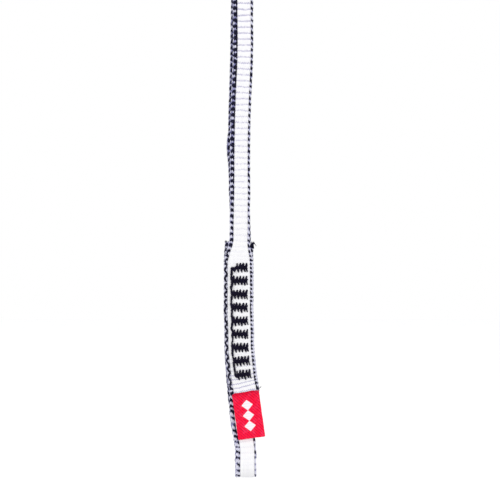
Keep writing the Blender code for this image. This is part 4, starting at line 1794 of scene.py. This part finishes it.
@dataclass
class RunningThread:
    """The thread that runs down the tacks' left ends, from a hook at the first to a knot at the last."""

    sizes: SlingSizes
    offset: float = 0.00328
    points: int = 40
    bow: float = 0.0002
    wave: Waver = Waver(0.0002, 0.3, 5)
    ripple: Waver = Waver(0.00012, 0.11, 4)
    lift: float = 0.0003
    lift_waver: Waver = Waver(0.0001, 0.03, 6)
    radius: float = 0.00043
    swelling: Waver = Waver(0.33, 0.009, 8)
    start_swell: float = 0.3
    start_share: float = 0.3
    sides: int = 8
    twist: float = 0.0006
    tint: float = 0.3
    hook_radius: float = 0.00055
    hook_drop: float = 0.14
    hook_start: float = -0.3 * math.pi
    hook_points: int = 24
    hook_close: float = 0.3
    hook_long: float = 1.6
    knot_turn: float = 4.0 * math.pi
    knot_points: int = 40
    knot_width: float = 0.5
    knot_height: float = 0.6
    knot_reach: float = 0.0004
    knot_lift: float = 0.00022

    def run(self, nodes: Array) -> tuple[Array, Array]:
        """The line down the tacks: straight from one to the next, less the bow times the sine of the way
        between them, plus the unevenness.

        Args:
            nodes: The x and z where it passes each tack.

        Returns:
            The line's x and z below the hook.
        """
        numbers = np.arange(len(nodes))
        way = np.linspace(0.0, len(nodes) - 1.0, self.points * (len(nodes) - 1) + 1)
        x, z = (np.interp(way, numbers, values) for values in nodes.T)
        x = x - self.bow * np.abs(np.sin(way * math.pi)) + self.wave.at(way) + self.ripple.at(way)
        below = way > self.hook_drop
        return x[below], z[below]

    def hook(self, x: float, z: float) -> tuple[Array, Array]:
        """The hook: an arc round to the line's start, closer and longer where its angle is below 0.

        Args:
            x: The line's start across.
            z: The line's start in height.

        Returns:
            The hook's x and z.
        """
        turn = np.linspace(self.hook_start, math.pi, self.hook_points)[:-1]
        close = 1.0 - self.hook_close * (turn < 0.0) * np.abs(turn)
        tall = self.hook_radius * np.where(turn < 0.0, self.hook_long, 1.0)
        return x + self.hook_radius * (1.0 + np.cos(turn) * close), z + tall * np.sin(turn)

    def knot(self, x: float, z: float) -> tuple[Array, Array]:
        """The knot: a small coil that goes on to the right and down as it turns.

        Args:
            x: The line's end across.
            z: The line's end in height.

        Returns:
            The knot's x and z.
        """
        coil = np.linspace(0.0, self.knot_turn, self.knot_points)[1:]
        share = coil / coil[-1]
        x = x + self.hook_radius * self.knot_width * (1.0 - np.cos(coil)) + self.knot_reach * share
        return x, z - self.hook_radius * self.knot_height * (np.sin(coil) + share)

    def build(self, places: list[Matrix], finishes: Finishes) -> None:
        """Builds the hook, the line and the knot as one tube.

        Args:
            places: The tacks' places.
            finishes: The sling's finishes.
        """
        corner = np.array([-self.offset, 0.0, 0.0, 1.0])
        nodes = np.array([np.array(place) @ corner for place in places])[:, [0, 2]]
        x, z = self.run(nodes)
        x, z = np.concatenate([self.hook(x[0], z[0]), (x, z), self.knot(*nodes[-1])], axis=1)
        heights = nodes[::-1, 1]
        depth = np.interp(z, heights, self.sizes.front_face(heights))
        steps = np.arange(len(x)) / len(x)
        lift = self.lift + self.lift_waver.at(steps)
        lift[1 - self.knot_points :] += self.knot_lift
        line = np.stack([x, depth - lift, z], axis=1)
        swell = 1.0 + self.start_swell - self.start_swell * eased(steps / self.start_share)
        radius = self.radius * (1.0 + self.swelling.at(steps)) * swell
        stock = MeshStock()
        stock.add_yarn(line, np.array([0.0, -1.0, 0.0]), radius, self.sides, self.twist, self.tint)
        piece = stock.build("running_thread", finishes.thread)
        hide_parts("travel_thread")
        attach(piece, "seam")


@dataclass
class Sewing:
    """The nine bar tacks and the thread that runs from one to the next along their left ends."""

    sizes: SlingSizes
    count: int = 9
    pitch: float = 0.00532
    drop: float = 0.01016
    shift: float = 0.00058
    lean_reach: float = 0.0017
    first_short: float = 0.0016
    last_short: float = 0.0005
    bobbin_face: float = 0.0004

    def place(self, number: int) -> Matrix:
        """Where a tack sits: on the web's middle line, a little to the right, and square to it.

        Args:
            number: The tack's number, from 0 at the top.

        Returns:
            Its place.
        """
        height = self.sizes.seam_start - self.drop - number * self.pitch
        around = np.array([height, height + self.lean_reach, height - self.lean_reach])
        middle, above, below = self.sizes.sway_front(around)
        tilt = -math.atan2(below - above, 2 * self.lean_reach)
        place = Matrix.Translation((float(middle) + self.shift, 0.0, height))
        return place @ Matrix.Rotation(tilt, 4, "Y")

    def build(self, finishes: Finishes) -> None:
        """Builds the tacks and the running thread.

        Args:
            finishes: The sling's finishes.
        """
        places = [self.place(number) for number in range(self.count)]
        shorts = {0: self.first_short, self.count - 1: self.last_short}
        for number, place in enumerate(places):
            face = float(self.sizes.front_face(np.array([place.translation.z]))[0])
            short = shorts.get(number, 0.0)
            BarTack(number + 1, place, face, self.bobbin_face, left_short=short).build(finishes)
        RunningThread(self.sizes).build(places, finishes)


@dataclass
class Label:
    """The label: one tape folded in two, its root between the layers and its flap hanging out of them."""

    sizes: SlingSizes
    width: float = 0.01085
    length: float = 0.0185
    root: float = 0.0092
    ply: float = 0.00022
    thickness: float = 0.0006
    shift: float = 0.0004
    tilt: float = math.radians(8.0)
    hinge_drop: float = 0.002
    hinge_lead: float = 0.00015
    hinge_reach: float = 0.0014
    columns: int = 48
    step: float = 0.00022
    hem_points: int = 9
    edge_thin: float = 0.55
    motif_width: float = 0.0046
    motif_height: float = 0.0042
    motif_count: int = 3
    motif_top: float = 0.003
    motif_soft: float = 0.12
    motif_turn: float = 1.0
    motif_relief: float = 0.00005
    curl: float = 0.00035
    curl_lean: float = 0.8
    curl_back: float = 0.6
    curl_depth: float = 0.5
    lean: float = 0.0001
    ripple: float = 0.00012
    ripple_length: float = 0.0019
    hem_share: float = 0.1
    hem_waver: Waver = Waver(0.00007, 0.0005, 3)
    side_waver: Waver = Waver(0.00005, 0.0009, 9)

    def frame(self) -> Matrix:
        """The bending line: its middle is the origin, X runs along it and -Z down the label.

        Returns:
            Its place.
        """
        s = self.sizes
        middle = float(s.sway_front(np.array([s.seam_end]))[0]) + self.shift
        depth = s.lower_face - s.fit_gap - self.thickness / 2 - self.hinge_lead
        cut_end = Matrix.Translation((middle, depth, s.seam_end)) @ Matrix.Rotation(-self.tilt, 4, "Y")
        return cut_end @ Matrix.Translation((0.0, 0.0, -self.hinge_drop))

    def path(self) -> tuple[Array, Array, Array]:
        """The tape's line down the front ply, round the hem and up the rear ply.

        Returns:
            The depths, the heights and the outward angles of the line's points.
        """
        radius = (self.thickness - self.ply) / 2
        top = self.hinge_drop + self.root
        bottom = self.hinge_drop - self.length + self.thickness / 2
        down = np.linspace(top, bottom, round((top - bottom) / self.step))
        turn = np.linspace(0.0, math.pi, self.hem_points)[1:-1]
        depth = np.concatenate([0 * down - radius, -radius * np.cos(turn), 0 * down + radius])
        height = np.concatenate([down, bottom - radius * np.sin(turn), down[::-1]])
        angle = np.concatenate([0 * down, turn, 0 * down + math.pi])
        return depth, height, angle

    def motif(self, x: Array, height: Array) -> Array:
        """Where the lozenges are: |x| over half their width plus |z| over half their height is below 1.

        Args:
            x: The way across.
            height: The height above the bending line.

        Returns:
            The share, softened at the edge.
        """
        down = (self.hinge_drop - self.motif_top - height) / self.motif_height
        inside = (down > 0.0) & (down < self.motif_count)
        away = np.abs(down % 1.0 - 0.5) * 2.0 + np.abs(x) * 2.0 / self.motif_width
        soft = eased((1.0 + self.motif_soft / 2 - away) / self.motif_soft)
        return np.where(inside, soft, 0.0)

    def ribbon(self) -> tuple[Array, Array, Array]:
        """The tape's faces: its line moved out by half a ply, with the lozenges, curl and ripples.

        Returns:
            The points by the bending line, the lozenges' share at each, and their UV places.
        """
        depth, height, angle = self.path()
        even = np.linspace(-0.5, 0.5, self.columns + 1) * self.width
        x = np.concatenate([even, even[::-1]])
        side = np.repeat([1.0, -1.0], self.columns + 1)
        rounding = np.where(np.abs(x) < even[-1], 1.0, 1.0 - self.edge_thin)
        printed = (side > 0) & (angle < self.motif_turn)[:, None]
        motif = self.motif(x, height[:, None]) * printed
        offset = side * (self.ply / 2) * rounding + self.motif_relief * motif
        y = depth[:, None] - np.cos(angle)[:, None] * offset
        z = height[:, None] - np.sin(angle)[:, None] * offset
        flap = np.clip((self.hinge_drop - z) / self.length, 0.0, 1.0)
        curl = self.curl * flap * (2.0 * x / self.width * self.curl_lean - self.curl_back)
        curl = curl + self.ripple * flap * np.sin(x / self.ripple_length)
        y = y + self.hinge_lead - curl * self.curl_depth - self.lean * flap
        hem = eased((flap - (1.0 - self.hem_share)) / self.hem_share)
        ragged = self.hem_waver.at(x + 0 * z) * hem
        points = np.stack([x + self.side_waver.at(z), y, z + ragged], axis=-1)
        way = np.concatenate([[0.0], np.cumsum(np.hypot(np.diff(depth), np.diff(height)))])
        across = np.append(x, x[0])
        return points, motif, np.stack(np.broadcast_arrays(across, way[:, None]), axis=-1)

    def build(self, finishes: Finishes) -> None:
        """Builds the tape as one closed ribbon and hides the solid label and its root.

        Args:
            finishes: The sling's finishes.
        """
        points, motif, places = self.ribbon()
        frame = np.array(self.frame())
        stock = MeshStock()
        stock.add_tube(points @ frame[:3, :3].T + frame[:3, 3], places / MM, motif)
        piece = stock.build("sewn_label", finishes.label)
        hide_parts("label", "label_root")
        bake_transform(piece)


@dataclass(frozen=True)
class LooseYarn:
    """A yarn that sticks out of a cut end."""

    lateral: float
    reach: float
    lift: float
    curl: float
    radius: float


UPPER_LOOSE = (
    LooseYarn(0.0056, 0.0011, -0.0003, -0.0006, 0.00012),
    LooseYarn(0.0054, 0.0006, 0.0004, 0.0002, 0.0001),
    LooseYarn(-0.0054, 0.0004, 0.0004, 0.0002, 0.0002),
    LooseYarn(-0.0049, 0.0001, 0.0004, 0.0001, 0.0002),
)
LOWER_LOOSE = (
    LooseYarn(0.0056, 0.0012, 0.0003, -0.0012, 0.00013),
    LooseYarn(0.0055, 0.0005, 0.0002, -0.0001, 0.00034),
    LooseYarn(0.0057, 0.0001, 0.0006, 0.0001, 0.0002),
    LooseYarn(0.0052, 0.0005, 0.0003, 0.0002, 0.0003),
    LooseYarn(0.0054, 0.0004, -0.0014, -0.0005, 0.0003),
    LooseYarn(-0.0056, 0.0003, 0.0007, 0.0002, 0.00012),
)


@dataclass
class FrayedEnd:
    """Loose fibres at a cut end of the webbing, dark and grey at the selvedges.

    Onward is 1 where the webbing ends as the course goes on, and -1 where it starts.
    """

    name: str
    course: Course
    at: float
    onward: float
    cut: Cut
    loose: tuple[LooseYarn, ...]
    seed: int
    count: int = 44
    length: float = 0.0008
    lengths: Range = (0.35, 1.0)
    radius: float = 0.00006
    radii: Range = (0.7, 1.4)
    taper: float = 0.6
    inset: float = 0.0002
    crowd: float = 0.0007
    deep: float = 0.8
    yarn_deep: float = 0.7
    sunk: float = 0.0003
    yarn_sunk: float = 0.0004
    lean: float = 0.25
    lean_spread: Range = (0.35, 0.3)
    bend_spread: Range = (0.3, 0.2)
    grey_share: float = 0.4
    arch: float = 0.0002
    sides: tuple[int, int] = (4, 6)
    points: tuple[int, int] = (5, 12)
    twist: float = 0.0009

    @property
    def row(self) -> int:
        """The number of the course's point at the cut."""
        return min(int(np.searchsorted(self.course.way, self.at)), len(self.course.way) - 1)

    @property
    def axes(self) -> tuple[Array, Array, Array]:
        """The ways across, outward and along at the cut."""
        return self.course.across[self.row], self.course.outward[self.row], self.course.along[self.row]

    def start(self, lateral: float, deep: float, sunk: float) -> Array:
        """Where a fibre starts.

        Args:
            lateral: The way across.
            deep: The depth out of the web's middle, as a share of half its thickness.
            sunk: How deep in the cut it lies.

        Returns:
            The point.
        """
        across, outward, along = self.axes
        move = self.cut.moves(np.array([lateral]), self.onward)[0] - self.onward * sunk
        out = deep * self.course.thickness[self.row] / 2
        return self.course.points[self.row] + across * lateral + outward * out + along * move

    def add_fibres(self, stock: MeshStock) -> None:
        """Adds the fibres: short lines that lean and bend by random shares of their length.

        Args:
            stock: The mesh to add to.
        """
        rng = np.random.default_rng(self.seed)
        across, outward, along = self.axes
        edge = self.course.width[self.row] / 2
        share = np.linspace(0.0, 1.0, self.points[0])[:, None]
        for _ in range(self.count):
            side = rng.choice([-1.0, 1.0])
            lateral = side * (edge - abs(rng.normal(0.0, self.crowd)) - self.inset)
            deep = rng.uniform(-self.deep, self.deep)
            length = self.length * rng.uniform(*self.lengths)
            lean = across * rng.normal(self.lean * side, self.lean_spread[0])
            lean = lean + outward * rng.normal(0.0, self.lean_spread[1]) + along * self.onward
            bend = across * rng.normal(0.0, self.bend_spread[0])
            bend = bend + outward * rng.normal(0.0, self.bend_spread[1])
            line = self.start(lateral, deep, self.sunk) + length * (share * lean + share * share * bend)
            radius = self.radius * (1.0 - self.taper * share[:, 0]) * rng.uniform(*self.radii)
            # A grey fibre's tint of 1 gives it the selvedge finish's full painted highlight.
            tint = float(rng.random() < self.grey_share)
            stock.add_yarn(line, outward, radius, self.sides[0], self.twist, tint)

    def add_yarns(self, stock: MeshStock) -> None:
        """Adds the longer yarns: their way along grows with the share, and their curl with its square.

        Args:
            stock: The mesh to add to.
        """
        across, outward, along = self.axes
        share = np.linspace(0.0, 1.0, self.points[1])[:, None]
        arch = outward * self.arch * np.sin(share * math.pi)
        for yarn in self.loose:
            rise = along * (yarn.lift * share + yarn.curl * share * share) * self.onward
            start = self.start(yarn.lateral, self.yarn_deep, self.yarn_sunk)
            line = start + across * (yarn.reach * share) + rise + arch
            stock.add_yarn(line, outward, yarn.radius, self.sides[1], self.twist)

    def build(self, finishes: Finishes) -> None:
        """Builds the fibres and the longer yarns as one piece.

        Args:
            finishes: The sling's finishes.
        """
        stock = MeshStock()
        self.add_fibres(stock)
        self.add_yarns(stock)
        piece = stock.build(self.name, finishes.selvedge)
        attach(piece, "seam")


@dataclass(frozen=True)
class Lamp:
    """A square soft lamp that faces the studio's focus."""

    name: str
    place: tuple[float, float, float]
    size: float
    power: float

    def build(self, focus: tuple[float, float, float]) -> None:
        """Sets the lamp up.

        Args:
            focus: The point that it faces.
        """
        data = bpy.data.lights.new(self.name, "AREA")
        data.shape = "SQUARE"
        data.size = self.size
        data.energy = self.power
        lamp = bpy.data.objects.new(self.name, data)
        away = unit(np.array(self.place))
        across = unit(np.cross(np.array([0.0, 0.0, 1.0]), away))
        turn = Matrix(np.stack([across, np.cross(away, across), away], axis=1).tolist()).to_4x4()
        lamp.matrix_world = Matrix.Translation(np.array(self.place) + np.array(focus)) @ turn
        bpy.context.scene.collection.objects.link(lamp)


@dataclass(frozen=True)
class Studio:
    """The pale floor, the soft lamps, the white surroundings and the camera."""

    focus: tuple[float, float, float] = (0.00286, 0.0, -0.2068)
    view_width: float = 0.200
    lens: float = 120.0
    sensor: float = 36.0
    clip: Range = (0.01, 50.0)
    floor_height: float = -0.36
    floor_size: float = 6.0
    floor_tones: tuple[Colour, Colour] = ((0.93, 0.93, 0.935), (0.94, 0.94, 0.945))
    floor_noise: float = 40.0
    floor_range: Range = (0.3, 0.7)
    floor_roughness: float = 0.9
    floor_specular: float = 0.1
    floor_lift: float = 0.27
    white: Colour = (1.0, 1.0, 1.0)
    ambient: float = 0.76
    lamps: tuple[Lamp, ...] = (
        Lamp("left_lamp", (-0.9, -1.0, 0.9), 0.9, 7.0), Lamp("right_lamp", (1.0, -0.9, 0.5), 0.9, 3.0),
    )

    def camera(self) -> None:
        """Sets up the camera, straight in front, so far away that the view's width fits its angle."""
        data = bpy.data.cameras.new("front_camera")
        data.type = "PERSP"
        data.lens = self.lens
        data.sensor_width = self.sensor
        data.sensor_fit = "HORIZONTAL"
        data.clip_start, data.clip_end = self.clip
        camera = bpy.data.objects.new("front_camera", data)
        x, y, z = self.focus
        place = Matrix.Translation((x, y - self.view_width * self.lens / self.sensor, z))
        camera.matrix_world = place @ Matrix.Rotation(math.pi / 2, 4, "X")
        bpy.context.scene.collection.objects.link(camera)
        bpy.context.scene.camera = camera

    def seen(self, graph: Graph) -> Socket:
        """Tells rays that show a thing to the camera from those that light others with it.

        Args:
            graph: The graph of the thing's material.

        Returns:
            1 for camera, mirrored and transmitted rays, and 0 for all others.
        """
        path = graph.node("LightPath").outputs
        direct = graph.math("MAXIMUM", path["Is Camera Ray"], path["Is Glossy Ray"])
        return graph.math("MAXIMUM", direct, path["Is Transmission Ray"])

    def floor(self) -> None:
        """Builds the floor, a plain pale plate far below the sling."""
        x = np.array([-0.5, 0.5]) * self.floor_size
        corners = [(x[0], x[0]), (x[1], x[0]), (x[1], x[1]), (x[0], x[1])]
        mesh = bpy.data.meshes.new("floor")
        mesh.from_pydata([(*corner, self.floor_height) for corner in corners], [], [(0, 1, 2, 3)])
        material, graph, principled = shader("pale_floor")
        noise = graph.noise(graph.node("TexCoord").outputs["Object"], self.floor_noise)
        colour = graph.mix(graph.step(noise, self.floor_range), *self.floor_tones)
        lift = graph.times(self.seen(graph), self.floor_lift)
        inputs = {
            "Base Color": colour, "Roughness": self.floor_roughness, "Emission Strength": lift,
            "Specular IOR Level": self.floor_specular, "Emission Color": self.white,
        }
        graph.feed(principled, inputs)
        mesh.materials.append(material)
        floor = bpy.data.objects.new("floor", mesh)
        bpy.context.scene.collection.objects.link(floor)

    def surroundings(self) -> None:
        """Sets up white for the camera and in mirrors, and an even soft light for everything else."""
        world = bpy.data.worlds.new("white_surroundings")
        bpy.context.scene.world = world
        world.use_nodes = True
        graph = Graph(world.node_tree)
        strength = graph.math("MULTIPLY_ADD", self.seen(graph), 1.0 - self.ambient, self.ambient)
        graph.feed(world.node_tree.nodes["Background"], {"Strength": strength, "Color": self.white})

    def build(self) -> None:
        """Sets the whole studio up."""
        self.camera()
        self.floor()
        self.surroundings()
        for lamp in self.lamps:
            lamp.build(self.focus)
        bpy.context.scene.view_settings.view_transform = "Standard"


@dataclass
class Sling:
    """The whole sling."""

    sizes: SlingSizes = field(default_factory=SlingSizes)
    upper_cut: Cut = Cut(slant=0.155, short=0.00035, seed=21)
    lower_cut: Cut = Cut(slant=0.02, seed=22)
    upper_bend: Bend = Bend("upper_loop", "middle_loop", -0.08, 0.020)
    seam_bend: Bend = Bend("middle_loop", "seam", -0.196542, 0.0075)
    bottom_bend: Bend = Bend("seam", "lower_loop", -0.270682, 0.0065)

    def webbing(self, finishes: Finishes) -> None:
        """Builds the four lengths of webbing and their frayed ends.

        Args:
            finishes: The sling's finishes.
        """
        line = SlingCourse(self.sizes)
        course = line.build()
        meet = line.meetings
        lengths = (
            WovenLength(
                "upper_webbing", course, meet.front, meet.rear, self.upper_bend,
                (
                    "top_bight", "front_strand_upper", "rear_strand_upper", "upper_fold_front",
                    "upper_fold_rear",
                ),
            ),
            WovenLength(
                "front_webbing", course, 0.0, meet.front, self.seam_bend,
                ("front_strand_lower", "seam_top_fold_front", "seam_upper_layer"),
                start_cut=self.upper_cut, left_edge=FRONT_LEFT_EDGE, right_edge=FRONT_RIGHT_EDGE,
            ),
            WovenLength(
                "rear_webbing", course, meet.rear, meet.seam, self.seam_bend,
                ("rear_strand_middle", "seam_top_fold_rear"),
            ),
            WovenLength(
                "lower_webbing", course, meet.seam, meet.end, self.bottom_bend,
                (
                    "rear_strand_at_seam", "seam_bottom_fold_rear", "bottom_bight",
                    "seam_bottom_fold_front", "seam_lower_layer",
                ),
                end_cut=self.lower_cut, left_edge=LOW_LEFT_EDGE, right_edge=LOW_RIGHT_EDGE,
            ),
        )
        for length in lengths:
            length.build(finishes)
        ends = (
            FrayedEnd("upper_cut_end_fibres", course, 0.0, -1.0, self.upper_cut, UPPER_LOOSE, seed=5),
            FrayedEnd("lower_cut_end_fibres", course, meet.end, 1.0, self.lower_cut, LOWER_LOOSE, seed=6),
        )
        for end in ends:
            end.build(finishes)

    def build(self) -> None:
        """Builds every piece."""
        finishes = Finishes.make()
        self.webbing(finishes)
        Sewing(self.sizes).build(finishes)
        Label(self.sizes).build(finishes)


def main() -> None:
    """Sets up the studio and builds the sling."""
    logging.basicConfig(level=logging.INFO, format="%(name)s: %(message)s")
    Studio().build()
    Sling().build()


if __name__ == "__main__":
    main()
